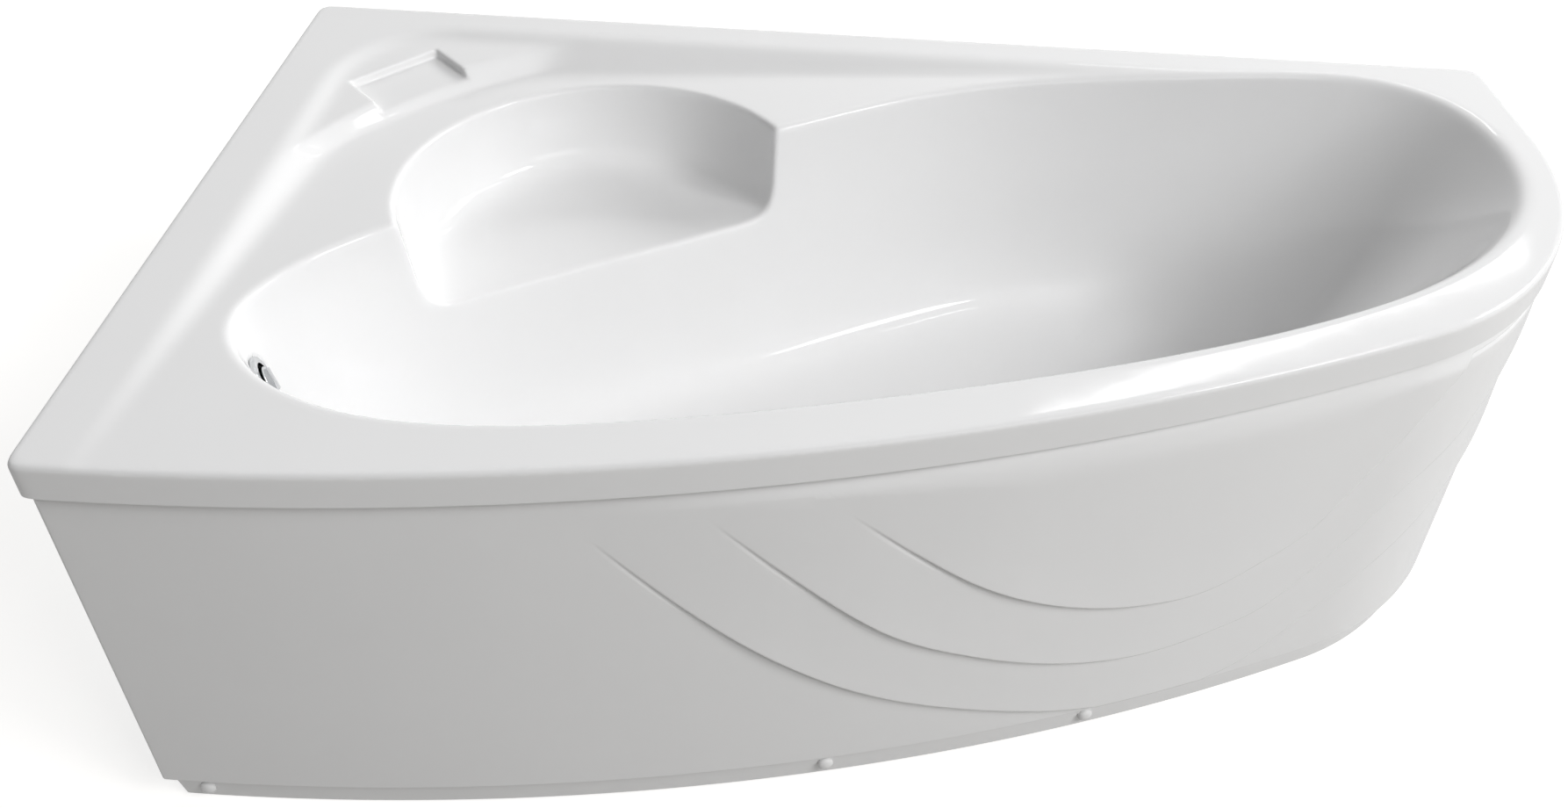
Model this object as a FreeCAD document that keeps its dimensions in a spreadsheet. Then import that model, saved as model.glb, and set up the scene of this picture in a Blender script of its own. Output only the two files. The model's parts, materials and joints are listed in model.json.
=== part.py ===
import FreeCAD, Part
import math
import os
import re
import Sketcher
from FreeCAD import Placement, Rotation, Vector

doc = FreeCAD.newDocument("bathtub")
sheet = doc.addObject("Spreadsheet::Sheet", "dim")

# Driving sizes in millimetres and degrees. Places are measured in plan from the
# front left corner: x along the wall side to the right, y towards the back wall.
SIZES = {
    # tub outline
    "length": 1700, "width": 980, "height": 605, "back_short": 38, "front_angle": 0.9,
    "corner_radius": 14, "end_radius_share": 0.4133, "end_centre_share": 0.7484,
    # shell
    "shell_wall": 6, "lip_drop": 45, "lip_round": 7, "overrun": 20,
    # well and seat
    "well_depth_share": 0.6033, "well_rim_round": 14, "well_floor_round": 70,
    "seat_radius": 255, "seat_depth": 140, "seat_rim_round": 12, "seat_floor_round": 40,
    "seat_taper": 14, "rim_lift": 2,
    # sunk deck, shelf and soap dish
    "border_left": 80, "border_back": 57, "border_corner": 150, "band_run_share": 1.3, "sunk_reach": 60,
    "dip_slope_share": 0.065, "shelf_drop": 8, "shelf_radius": 640,
    "dish_length": 136, "dish_reach": 104, "dish_drop": 20, "dish_angle": 47,
    # front panel
    "panel_inset": 9, "panel_wall": 4, "panel_gap": 4, "panel_round": 3.5, "flange_reach": 16,
    "plinth_setback": 8, "plinth_top": 51, "floor_gap": 5, "petal_step": 7, "petal_heading": 8,
    # frame
    "tube_side": 25, "tube_wall": 2, "board_thick": 18, "beam_back_gap": 20, "beam_front_gap": 12,
    "rail_gap": 6, "post_back_gap": 35, "post_front_gap": 1,
    "plug_plate": 2, "plug_stub": 10, "plug_ease": 0.2, "board_corner": 40, "board_hole_radius": 60,
    # feet
    "stud_radius": 6, "stud_short": 2, "stud_clearance": 0.05, "nut_flats": 19, "nut_height": 10,
    "pad_radius": 28, "pad_edge": 3, "pad_height": 16, "pad_neck_radius": 13, "pad_neck_height": 10,
    "pad_floor": 6, "foot_left_gap": 60, "foot_middle_gap": 140, "foot_end_gap": 70, "foot_back_gap": 90,
    # panel fixings
    "bracket_width": 30, "bracket_thick": 3, "bracket_leg": 40, "bracket_right_leg": 85, "bracket_foot": 14,
    "seat_gap": 0.1, "screw_level": 28, "screw_radius": 2.4, "screw_length": 20, "screw_head_radius": 3.8,
    "screw_head_height": 2.4, "cap_radius": 7.5, "cap_height": 5, "cap_wall": 1.2,
    "block_length": 60, "block_depth": 14,
    "block_screw_radius": 2, "block_screw_length": 24, "block_screw_head_radius": 4, "block_screw_head": 2.5,
    # wall brackets
    "hook_width": 80, "hook_plate": 3, "hook_drop": 62, "hook_rise": 30, "hook_hole_radius": 3.5,
    "hook_hole_spacing": 44, "hook_hole_drop": 32,
    # waste
    "drain_hole_radius": 26, "land_drop": 1, "land_ease": 2, "flange_radius": 35, "flange_thick": 3,
    "flange_throat_radius": 21, "flange_skirt_radius": 24, "flange_skirt": 14, "spoke_width": 4,
    "spoke_height": 5, "guide_radius": 8, "seal_thick": 3, "seal_radius": 38,
    "waste_radius": 40, "waste_wall": 3, "waste_height": 56, "waste_collar": 10,
    "neck_radius": 20, "neck_wall": 2.5, "neck_length": 26, "thread_clearance": 0.05,
    "plug_radius": 30, "plug_thick": 4, "plug_dome": 2, "plug_stem_radius": 4, "plug_stem": 30,
    "plug_seal_radius": 20.5, "plug_seal_thick": 3, "plug_rest": 0.3,
    # overflow
    "overflow_drop": 76, "overflow_heading": 26, "overflow_tilt": 17,
    "overflow_hole_radius": 26, "overflow_ring_radius": 32, "overflow_ring_thick": 5,
    "overflow_mouth_radius": 23, "overflow_skirt_radius": 25, "overflow_skirt": 16,
    "overflow_body_radius": 36, "overflow_body_depth": 36, "overflow_body_wall": 3,
    "knob_radius": 17, "knob_thick": 5, "knob_stand": 3, "knob_bar_width": 7, "knob_bar_height": 5,
    "spindle_radius": 4, "pipe_radius": 16, "pipe_wall": 2.5, "pipe_bend": 50, "pipe_drop": 45,
    "cable_radius": 2.5, "cable_side": 25,
    # trap
    "trap_collar_radius": 24, "trap_collar": 14, "trap_nut_radius": 29, "trap_nut_height": 22,
    "trap_radius": 34, "trap_wall": 3, "trap_height": 82, "trap_rib_count": 12, "outlet_drop": 30,
    "outlet_wall": 2.5, "outlet_collar": 52, "outlet_nut_length": 24, "outlet_end_gap": 26,
    "spigot_length": 50, "spigot_ease": 0.5,
}
for row, (alias, value) in enumerate(SIZES.items(), start=1):
    sheet.set(f"A{row}", alias)
    sheet.set(f"B{row}", str(value))
    sheet.setAlias(f"B{row}", alias)
doc.recompute()

# Closed curves of the well, as shares of the tub's length and width, from the
# left end round by the front. Each rim point has its floor point.
WELL_RIM_SHARES = [
    (0.069, 0.303), (0.091, 0.200), (0.158, 0.120), (0.256, 0.107), (0.385, 0.147), (0.538, 0.218),
    (0.690, 0.305), (0.829, 0.414), (0.926, 0.531), (0.984, 0.702), (0.962, 0.890), (0.881, 0.971),
    (0.765, 0.939), (0.647, 0.924), (0.540, 0.885), (0.408, 0.741), (0.251, 0.581), (0.131, 0.463),
]
WELL_FLOOR_SHARES = [
    (0.138, 0.306), (0.150, 0.230), (0.194, 0.168), (0.265, 0.163), (0.376, 0.209), (0.500, 0.276),
    (0.618, 0.352), (0.706, 0.449), (0.753, 0.571), (0.762, 0.714), (0.738, 0.847), (0.697, 0.908),
    (0.641, 0.898), (0.576, 0.862), (0.494, 0.776), (0.376, 0.653), (0.253, 0.526), (0.165, 0.418),
]
FLOOR_FLAT_SHARE = 0.3
# Lower edges of the raised petals in front view, as shares of length and height,
# from the top left down and up again to the right.
PETAL_SHARES = [
    [(0.340, 0.800), (0.425, 0.510), (0.545, 0.230), (0.735, 0.095), (0.860, 0.250), (0.965, 0.560)],
    [(0.418, 0.830), (0.490, 0.565), (0.600, 0.365), (0.720, 0.265), (0.850, 0.440), (0.945, 0.760)],
    [(0.502, 0.810), (0.560, 0.640), (0.640, 0.500), (0.735, 0.432), (0.830, 0.550), (0.900, 0.820)],
]
# Corners of the base board, as shares of length and width.
BOARD_SHARES = [(0.165, 0.165), (0.300, 0.165), (0.690, 0.400), (0.750, 0.560), (0.730, 0.860),
                (0.640, 0.880), (0.165, 0.430)]
# Plan places, as shares of length and width.
PLACE_SHARES = {
    "seat": (0.2876, 0.6010), "dip_start": (0.0453, 0.0969), "dip_end": (0.8012, 0.9459),
    "shelf": (0.3912, 0.3633), "shelf_ends": (0.2882, 0.5510), "dish": (0.1118, 0.8122),
    "drain": (0.2765, 0.3929), "overflow": (0.1012, 0.2408),
    "rail_back": (0, 0.6122), "rail_end": (0.8706, 0.4469),
    "hook_back_1": (0.2471, 1), "hook_back_2": (0.6353, 1), "hook_left": (0, 0.5102),
}
# Places along the length, as shares of it.
BEAM_SHARES = {"left": 0.0353, "middle": 0.4882, "end": 0.8706}
CAP_SHARES = {"left": 0.0353, "middle": 0.4882, "right": 0.6853}
BLOCK_SHARES = {"one": 0.2471, "two": 0.5941, "three": 0.8235}
SEAT_POINTS = 12
QUARTER_TURN = 90


def size(alias):
    return float(sheet.get(alias))


def bind(text):
    """Turn a sum of size names into a sheet expression."""
    return re.sub(r"[a-z][a-z_]*", lambda found: "dim." + found.group(), text)


def measure(text):
    """Work out a sum of size names."""
    cell = "D1"
    sheet.set(cell, "=" + re.sub(r"dim\.", "", bind(text)))
    sheet.recompute()
    return float(sheet.get(cell))


def derived(cell, alias, value):
    """Keep a worked-out size in the sheet under its own name."""
    sheet.set(cell, str(value))
    sheet.setAlias(cell, alias)
    doc.recompute()


def plan(x, y, z):
    return Vector(x - size("length") / 2, y - size("width") / 2, z)


def place(name):
    """Plan place by name."""
    across, up = PLACE_SHARES[name]
    return Vector(across * size("length"), up * size("width"), 0)


def well_depth():
    return size("height") * size("well_depth_share")


def normal_angle(centre, point):
    return math.atan2(point.y - centre.y, point.x - centre.x)


def on_circle(centre, radius, angle):
    return Vector(centre.x + radius * math.cos(angle), centre.y + radius * math.sin(angle), 0)


def outline_centres():
    """Centres and radii of the tight arc at the right end and the long front arc that runs into it."""
    lean = math.radians(size("front_angle"))
    end_radius = size("width") * size("end_radius_share")
    end = Vector(size("length") - end_radius, size("width") * size("end_centre_share"), 0)
    rise = end.y * math.cos(lean) - end.x * math.sin(lean) - end_radius
    front_radius = (end.x ** 2 + end.y ** 2 - end_radius ** 2) / (2 * rise)
    front = Vector(-front_radius * math.sin(lean), front_radius * math.cos(lean), 0)
    return front, end, front_radius, end_radius


def outline_marks(inset):
    """Marks along the outline, moved inwards by inset: corners and arc ends."""
    front, end, full_front, full_end = outline_centres()
    front_radius = full_front - inset
    end_radius = full_end - inset
    join = normal_angle(front, end)
    corner = Vector(size("length") - size("back_short"), size("width"), 0)
    leave = normal_angle(end, corner) - math.acos(full_end / end.distanceToPoint(corner))
    start_x = inset
    start = Vector(start_x, front.y - math.sqrt(front_radius ** 2 - (start_x - front.x) ** 2), 0)
    back = size("width") - inset
    leaving = on_circle(end, end_radius, leave)
    along = (back - leaving.y) / math.cos(leave)
    return {
        "start": start,
        "front_middle": on_circle(front, front_radius, (normal_angle(front, start) + join) / 2),
        "join": on_circle(front, front_radius, join),
        "end_middle": on_circle(end, end_radius, (join + leave) / 2),
        "leave": leaving, "back_right": Vector(leaving.x - along * math.sin(leave), back, 0),
        "back_left": Vector(inset, back, 0),
    }


def outline_block(inset, low, high, slide=Vector()):
    """Upright block on the outline moved inwards by inset, between two levels."""
    mark = outline_marks(inset)
    edges = [
        Part.Arc(mark["start"], mark["front_middle"], mark["join"]).toShape(),
        Part.Arc(mark["join"], mark["end_middle"], mark["leave"]).toShape(),
        Part.makeLine(mark["leave"], mark["back_right"]),
        Part.makeLine(mark["back_right"], mark["back_left"]),
        Part.makeLine(mark["back_left"], mark["start"]),
    ]
    face = Part.Face(Part.Wire(edges))
    face.translate(plan(slide.x, slide.y, low))
    return face.extrude(Vector(0, 0, high - low))


def front_normal(x, inset):
    """Place and outward heading of the front face at a plan x."""
    front, end, full_front, full_end = outline_centres()
    radius = full_front - inset
    y = front.y - math.sqrt(radius ** 2 - (x - front.x) ** 2)
    heading = math.degrees(math.atan2(y - front.y, x - front.x))
    return y, heading


def box_between(x_low, x_high, y_low, y_high, z_low, z_high):
    return Part.makeBox(x_high - x_low, y_high - y_low, z_high - z_low, plan(x_low, y_low, z_low))


def deck_level(x, y):
    """Level of the sunk deck: it dips from a slanted line towards the back left corner."""
    start = place("dip_start")
    along = (place("dip_end") - start).normalize()
    away = (y - start.y) * along.x - (x - start.x) * along.y
    return size("height") - size("dip_slope_share") * max(away, 0)


def polygon_outward(points):
    """Outward directions at the points of a closed outline that runs anticlockwise."""
    count = len(points)
    found = []
    for index in range(count):
        before = Vector(*points[index - 1], 0)
        after = Vector(*points[(index + 1) % count], 0)
        along = (after - before).normalize()
        found.append(Vector(along.y, -along.x, 0))
    return found


def closed_surface(rows, degree):
    """Smooth surface through rows of poles, closed round each row."""
    around = len(rows[0])
    steps = len(rows) - degree
    surface = Part.BSplineSurface()
    surface.buildFromPolesMultsKnots(
        [[row[index] for row in rows] for index in range(around)],
        [1] * (around + 1), [degree + 1] + [1] * (steps - 1) + [degree + 1],
        list(range(around + 1)), list(range(steps + 1)), True, False, 3, degree)
    return surface.toShape()


def pocket(rim, floor, depth, rim_round, floor_round, grow):
    """Closed bowl with a rounded rim that meets the deck and a rounded floor."""
    outward = polygon_outward(rim)
    floor_outward = polygon_outward(floor)
    level = size("height") - depth - grow
    count = len(rim)
    middle = Vector(sum(p[0] for p in floor) / count, sum(p[1] for p in floor) / count, 0)
    top = size("height") + size("overrun")
    rows = [[] for _ in range(7)]
    for index in range(count):
        x, y = rim[index]
        edge = Vector(x, y, 0) + outward[index] * grow
        foot = Vector(*floor[index], 0) + floor_outward[index] * grow
        deck = deck_level(x, y) - grow
        flare = edge + outward[index] * rim_round
        flat = middle + (foot - middle) * FLOOR_FLAT_SHARE
        drop = deck - level
        under_rim = edge + (foot - edge) * (2 * rim_round / drop)
        over_floor = edge + (foot - edge) * (1 - 2 * floor_round / drop)
        rows[0].append(plan(flare.x, flare.y, top))
        rows[1].append(plan(flare.x, flare.y, deck + size("rim_lift")))
        rows[2].append(plan(edge.x, edge.y, deck))
        rows[3].append(plan(under_rim.x, under_rim.y, deck - 2 * rim_round))
        rows[4].append(plan(over_floor.x, over_floor.y, level + 2 * floor_round))
        rows[5].append(plan(foot.x, foot.y, level))
        rows[6].append(plan(flat.x, flat.y, level))
    collar = closed_surface(rows[:2], 1)
    bowl = closed_surface(rows[1:], 2)
    lid = Part.Face(Part.Wire(max(collar.Edges, key=lambda edge: edge.BoundBox.ZMin)))
    base = Part.Face(Part.Wire(min(bowl.Edges, key=lambda edge: edge.BoundBox.ZMax)))
    shell = Part.makeShell([lid, collar, bowl, base])
    shell.sewShape()
    solid = Part.Solid(shell)
    if solid.Volume < 0:
        solid.reverse()
    return solid


def shares_to_plan(shares):
    return [(across * size("length"), up * size("width")) for across, up in shares]


def well(grow):
    return pocket(shares_to_plan(WELL_RIM_SHARES), shares_to_plan(WELL_FLOOR_SHARES), well_depth(),
                  size("well_rim_round"), size("well_floor_round"), grow)


def seat_circle(radius):
    """Poles of a round curve of the given radius about the seat's centre."""
    step = 2 * math.pi / SEAT_POINTS
    pole_radius = radius * 6 / (4 + 2 * math.cos(step))
    centre = place("seat")
    return [(centre.x + pole_radius * math.cos(step * index),
             centre.y + pole_radius * math.sin(step * index)) for index in range(SEAT_POINTS)]


def seat(grow):
    return pocket(seat_circle(size("seat_radius")), seat_circle(size("seat_radius") - size("seat_taper")),
                  size("seat_depth"), size("seat_rim_round"), size("seat_floor_round"), grow)


def prism(points, low, high):
    wire = Part.makePolygon([plan(x, y, low) for x, y in points + points[:1]])
    return Part.Face(wire).extrude(Vector(0, 0, high - low))


def sunk_frame(inset, level):
    """Closed outline of the sunk deck at one level: border lines with one round corner."""
    left = size("border_left") + inset
    back = size("width") - size("border_back") - inset
    radius = size("border_corner") - inset
    right = size("length")
    near = -size("overrun")
    turn = radius * (1 - math.sqrt(0.5))
    corner = Part.Arc(plan(left, back - radius, level), plan(left + turn, back - turn, level),
                      plan(left + radius, back, level)).toShape()
    points = [plan(left + radius, back, level), plan(right, back, level), plan(right, near, level),
              plan(left, near, level), plan(left, back - radius, level)]
    lines = [Part.makeLine(a, b) for a, b in zip(points, points[1:])]
    return Part.Wire([corner] + lines)


def deck_hollow(grow):
    """What is sunk into the deck: the dipping floor, the corner shelf and the soap dish."""
    top = size("height")
    reach = size("sunk_reach")
    run = size("band_run_share")
    over = size("overrun")
    frame = Part.makeLoft([sunk_frame(-run * over - grow, top + over),
                           sunk_frame(run * reach - grow, top - reach)], True, True)
    far = size("length") + size("width")
    dip_start = place("dip_start")
    along = normal_angle(dip_start, place("dip_end"))
    above = Part.makeBox(2 * far, 2 * far, size("height"), Vector(-far, -far, 0))
    dip = math.atan(size("dip_slope_share"))
    above.Placement = Placement(plan(dip_start.x, dip_start.y, top - grow),
                                Rotation(math.degrees(along), 0, -math.degrees(dip)))
    ends = place("shelf_ends")
    corner = prism([(0, ends.y), (size("border_left"), ends.y), (ends.x, size("width") - size("border_back")),
                    (ends.x, size("width")), (0, size("width"))], top - reach - over, top + over)
    shelf_centre = plan(place("shelf").x, place("shelf").y, top - reach)
    round_front = Part.makeCone(size("shelf_radius") - reach + grow, size("shelf_radius") + over + grow,
                                reach + over, shelf_centre)
    dipping = frame.common(above).cut(corner.cut(round_front))
    shelf_space = box_between(0, ends.x, ends.y, size("width"),
                              top - size("shelf_drop") - grow, top + over)
    shelf = frame.common(corner).common(shelf_space)
    dish_length = size("dish_length") + 2 * grow
    dish_reach = size("dish_reach") + 2 * grow
    dish = Part.makeBox(dish_length, dish_reach, size("dish_drop") + over,
                        Vector(-dish_length / 2, -dish_reach / 2, 0))
    dish.Placement = Placement(plan(place("dish").x, place("dish").y, top - size("dish_drop") - grow),
                               Rotation(size("dish_angle"), 0, 0))
    return dipping.fuse([shelf, dish.common(frame)])


def upright_edges(shape):
    return [edge for edge in shape.Edges if edge.BoundBox.XLength + edge.BoundBox.YLength < edge.Length / 2]


def top_edges(shape):
    high = shape.BoundBox.ZMax
    return [edge for edge in shape.Edges if edge.BoundBox.ZMin > high - size("lip_round") / 2]


def wall_seat():
    """Where the overflow axis meets the well wall, and the heading into the well."""
    turn = Rotation(size("overflow_heading"), -size("overflow_tilt"), 0)
    inward = turn.multVec(Vector(1, 0, 0))
    aim = plan(place("overflow").x, place("overflow").y, size("height") - size("overflow_drop"))
    reach = inward * well_depth() / 2
    inside = well(0).common(Part.makeLine(aim - reach, aim + reach))
    point = min((vertex.Point for vertex in inside.Vertexes), key=lambda p: (p - aim + reach).Length)
    return point, inward


def disc(centre, axis, radius, start, stop):
    return Part.makeCylinder(radius, stop - start, centre + axis * start, axis)


def tub_shell():
    top = size("height")
    wall = size("shell_wall")
    low = top - size("lip_drop")
    block = outline_block(0, 0, top)
    block = block.makeFillet(size("corner_radius"), upright_edges(block))
    block = block.makeFillet(size("lip_round"), top_edges(block))
    block = block.cut(deck_hollow(0))
    skirt = block.common(box_between(-size("overrun"), size("length") + size("overrun"), -size("overrun"),
                                     size("width") + size("overrun"), low, top + size("overrun")))
    under = outline_block(wall, low - size("overrun"), top - wall).cut(deck_hollow(wall))
    shell = skirt.cut(under)
    for bowl in (well, seat):
        shell = shell.fuse(bowl(wall).common(block))
    point, inward = wall_seat()
    fittings = [(point, inward, size("overflow_ring_radius"), size("overflow_body_radius"),
                 size("overflow_hole_radius")),
                (drain_centre(waste_levels()[0]), UP, size("flange_radius"), size("seal_radius"),
                 size("drain_hole_radius"))]
    for place, axis, inner, outer, hole in fittings:
        shell = shell.fuse(disc(place, axis, outer + size("land_ease"), -wall, 0))
    for bowl in (well, seat):
        shell = shell.cut(bowl(0))
    for place, axis, inner, outer, hole in fittings:
        shell = shell.cut(disc(place, axis, outer + size("land_ease"), -size("overrun"), -wall))
        shell = shell.cut(disc(place, axis, inner + size("land_ease"), 0, size("overrun")))
        shell = shell.cut(disc(place, axis, hole, -size("overrun"), size("overrun")))
    return shell


def petal(index):
    """One raised petal: the panel's front moved aside, kept above a curved lower edge."""
    heading = math.radians(size("petal_heading"))
    slide = Vector(math.cos(heading), math.sin(heading), 0) * size("petal_step") * (index + 1)
    lip = size("height") - size("lip_drop") - size("panel_gap")
    edge = [plan(across * size("length"), 0, up * size("height")) for across, up in PETAL_SHARES[index]]
    curve = Part.BSplineCurve()
    curve.interpolate(edge)
    first = Vector(edge[0].x, edge[0].y, lip)
    last = Vector(edge[-1].x, edge[-1].y, lip)
    wire = Part.Wire([curve.toShape(), Part.makeLine(edge[-1], last), Part.makeLine(last, first),
                      Part.makeLine(first, edge[0])])
    sight = Part.Face(wire).extrude(Vector(0, size("width"), 0))
    raised = outline_block(size("panel_inset"), size("plinth_top"), lip, slide)
    return raised.common(sight)


def front_panel():
    top = size("height") - size("lip_drop") - size("panel_gap")
    wall = size("panel_wall")
    inset = size("panel_inset")
    step = size("plinth_top")
    setback = inset + size("plinth_setback")
    skin = outline_block(inset, step, top)
    skin = skin.makeFillet(size("panel_round"), top_edges(skin))
    for index in range(len(PETAL_SHARES)):
        skin = skin.fuse(petal(index))
    inner = outline_block(inset + wall, step + wall, top - wall)
    mouth = outline_block(inset + size("flange_reach"), step, top + size("overrun"))
    plinth = outline_block(setback, size("floor_gap"), step + wall)
    hollow = outline_block(setback + wall, 0, step + size("overrun"))
    ring = skin.cut(inner).cut(mouth).fuse(plinth).cut(hollow)
    return_end = inset + size("flange_reach")
    back_from = size("width") - return_end
    back_end = size("length") - size("back_short") - size("flange_reach")
    back = box_between(-size("overrun"), back_end, back_from, size("width"), 0, size("height"))
    side = box_between(-size("overrun"), return_end, return_end, size("width"), 0, size("height"))
    ring = ring.cut(back.fuse(side))
    over = size("overrun")
    ease = size("stud_clearance")
    drills = [panel_disc(name, size("screw_radius") + ease, -over, over) for name in CAP_SHARES]
    drills += [block_disc(name, size("block_screw_radius") + ease, -over, over) for name in BLOCK_SHARES]
    return ring.cut(drills[0].fuse(drills[1:])).removeSplitter()


UP = Vector(0, 0, 1)
ALONG_Y = Rotation(Vector(1, 0, 0), -QUARTER_TURN)
ALONG_X = Rotation(Vector(0, 1, 0), QUARTER_TURN)
HEXAGON_SHARE = 0.57735
# Underside of the beams: the frame fills the height below the well floor.
BEAM_BASE = "(height * (1 - well_depth_share) - shell_wall - board_thick - 2 * tube_side)"
STUD_TOP = f"({BEAM_BASE} + tube_side + nut_height - stud_short)"
nodes = []


def panel_axis(name):
    """Point on the plinth's outer face at a screw, the outward direction and its heading."""
    x = size("length") * CAP_SHARES[name]
    y, heading = front_normal(x, size("panel_inset") + size("plinth_setback"))
    outward = Rotation(heading, 0, 0).multVec(Vector(1, 0, 0))
    return plan(x, y, size("screw_level")), outward, heading


def panel_disc(name, radius, start, stop):
    point, outward, heading = panel_axis(name)
    return disc(point, outward, radius, start, stop)


def block_axis(name):
    """Middle of a rim block on top of the panel's flange, and the heading there."""
    inset = size("panel_inset") + size("panel_wall") + size("seat_gap") + size("block_depth") / 2
    x = size("length") * BLOCK_SHARES[name]
    y, heading = front_normal(x, inset)
    return plan(x, y, size("height") - size("lip_drop") - size("panel_gap")), heading


def block_disc(name, radius, start, stop):
    return disc(block_axis(name)[0], UP, radius, start, stop)


def feature(label, shape):
    """Sub-part whose form is worked out in code from the sheet's sizes."""
    made = doc.addObject("Part::Feature", label)
    made.Label = label
    made.Shape = shape
    nodes.append(made)
    return made


def plane_of(body, role):
    return [item for item in body.Origin.OriginFeatures if item.Role == role][0]


def new_sketch(body, role, name):
    sketch = body.newObject("Sketcher::SketchObject", name)
    sketch.AttachmentSupport = [(plane_of(body, role), "")]
    sketch.MapMode = "FlatFace"
    return sketch


def hold_point(sketch, index, corner, pair):
    """Fix one point of a sketch to sums of size names."""
    for kind, text in zip(("DistanceX", "DistanceY"), pair):
        number = sketch.addConstraint(Sketcher.Constraint(kind, -1, 1, index, corner, measure(text)))
        sketch.setExpression(f"Constraints[{number}]", bind(text))


def line_sketch(body, role, name, points):
    """Closed sketch of straight lines whose corners follow size names."""
    sketch = new_sketch(body, role, name)
    places = [Vector(measure(across), measure(up), 0) for across, up in points]
    count = len(points)
    for index in range(count):
        sketch.addGeometry(Part.LineSegment(places[index], places[(index + 1) % count]), False)
    for index in range(count):
        sketch.addConstraint(Sketcher.Constraint("Coincident", index, 2, (index + 1) % count, 1))
    for index, pair in enumerate(points):
        hold_point(sketch, index, 1, pair)
    return sketch


def circle_sketch(body, role, name, places, radius):
    sketch = new_sketch(body, role, name)
    for index, pair in enumerate(places):
        centre = Vector(measure(pair[0]), measure(pair[1]), 0)
        sketch.addGeometry(Part.Circle(centre, UP, measure(radius)), False)
        hold_point(sketch, index, 3, pair)
        number = sketch.addConstraint(Sketcher.Constraint("Radius", index, measure(radius)))
        sketch.setExpression(f"Constraints[{number}]", bind(radius))
    return sketch


def cut_through(body, name, sketch):
    """Cut a sketch right through a body, both ways."""
    before = body.Tip.Shape.Volume
    cut = body.newObject("PartDesign::Pocket", name)
    cut.Profile = sketch
    cut.Type = "ThroughAll"
    cut.Midplane = True
    doc.recompute()
    if not cut.Shape.Volume < before:
        raise ValueError(f"{name} cut nothing")


def padded(label, role, points, depth, midplane=False):
    body = doc.addObject("PartDesign::Body", label)
    body.Label = label
    pad = body.newObject("PartDesign::Pad", label + "_pad")
    pad.Profile = line_sketch(body, role, label + "_outline", points)
    pad.setExpression("Length", bind(depth))
    pad.Midplane = midplane
    doc.recompute()
    return body


def turned(label, points):
    """Body of revolution about its own Z axis from corners of radius and height."""
    body = doc.addObject("PartDesign::Body", label)
    body.Label = label
    sketch = line_sketch(body, "XZ_Plane", label + "_profile", points)
    turn = body.newObject("PartDesign::Revolution", label + "_turn")
    turn.Profile = sketch
    turn.ReferenceAxis = (sketch, ["V_Axis"])
    turn.Angle = 360
    doc.recompute()
    return body


def keep(body, base=Vector(), turn=Rotation()):
    """Place a finished body and count it as a sub-part."""
    body.Placement = Placement(base, turn)
    nodes.append(body)
    return body


def rectangle(wide, deep):
    return [(f"-({wide}) / 2", f"-({deep}) / 2"), (f"({wide}) / 2", f"-({deep}) / 2"),
            (f"({wide}) / 2", f"({deep}) / 2"), (f"-({wide}) / 2", f"({deep}) / 2")]


def copies(label, body, placements):
    """One sub-part of separate like solids."""
    shapes = []
    for placement in placements:
        shape = body.Shape.copy()
        shape.Placement = placement
        shapes.append(shape)
    return feature(label, Part.makeCompound(shapes))


def square_tube(label, tube_length):
    """Square tube along its own Z axis, from zero."""
    body = padded(label, "XY_Plane", rectangle("tube_side", "tube_side"), tube_length)
    inside = "tube_side - 2 * tube_wall"
    bore = line_sketch(body, "XY_Plane", label + "_inside", rectangle(inside, inside))
    cut_through(body, label + "_bore", bore)
    return body


def beam_places():
    """Length places of the beams; their front ends keep clear of the panel and go to the sheet."""
    found = {}
    for row, (name, share) in enumerate(BEAM_SHARES.items(), start=1):
        found[name] = size("length") * share
        inset = size("panel_inset") + size("panel_wall") + size("beam_front_gap")
        derived(f"E{row}", f"beam_{name}_front", front_normal(found[name], inset)[0])
    return found


def foot_places():
    """Plan places of the six feet, front then back on each beam."""
    found = []
    for name, x in beam_places().items():
        found.append((x, size(f"beam_{name}_front") + size(f"foot_{name}_gap")))
        found.append((x, size("width") - size("beam_back_gap") - size("foot_back_gap")))
    return found


def beams():
    """Cross tubes with upright holes for the foot studs."""
    level = measure(BEAM_BASE) + size("tube_side") / 2
    for name, x in beam_places().items():
        label = f"beam_{name}"
        span = f"width - beam_back_gap - beam_{name}_front"
        body = square_tube(label, span)
        places = [("0", f"foot_{name}_gap"), ("0", f"{span} - foot_back_gap")]
        holes = circle_sketch(body, "XZ_Plane", label + "_holes", places, "stud_radius + stud_clearance")
        cut_through(body, label + "_hole_cut", holes)
        keep(body, plan(x, size(f"beam_{name}_front"), level), ALONG_Y)


def front_post(name):
    """Plan y of a front post's axis, close behind the panel's flange."""
    half = size("tube_side") / 2
    inset = size("panel_inset") + size("flange_reach") + size("post_front_gap")
    return front_normal(beam_places()[name] + half, inset)[0] + half


def front_rail():
    """Plan y of the front rail's axis, behind the middle post."""
    return front_post("middle") + size("tube_side") + size("rail_gap")


def rails():
    """Long tubes on top of the beams."""
    level = measure(BEAM_BASE) + size("tube_side") * 3 / 2
    beam_x = beam_places()
    low_x = beam_x["left"] - size("tube_side") / 2
    derived("F1", "short_span", beam_x["middle"] - beam_x["left"])
    derived("F2", "long_span", beam_x["end"] - beam_x["left"])
    front = square_tube("rail_front", "short_span + tube_side")
    keep(front, plan(low_x, front_rail(), level), ALONG_X)
    back = square_tube("rail_back", "long_span + tube_side")
    keep(back, plan(low_x, place("rail_back").y, level), ALONG_X)
    start, heading = diagonal_line()
    slanted = square_tube("rail_diagonal", "diagonal_length")
    keep(slanted, plan(start.x, start.y, level), Rotation(heading, 0, 0).multiply(ALONG_X))


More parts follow.
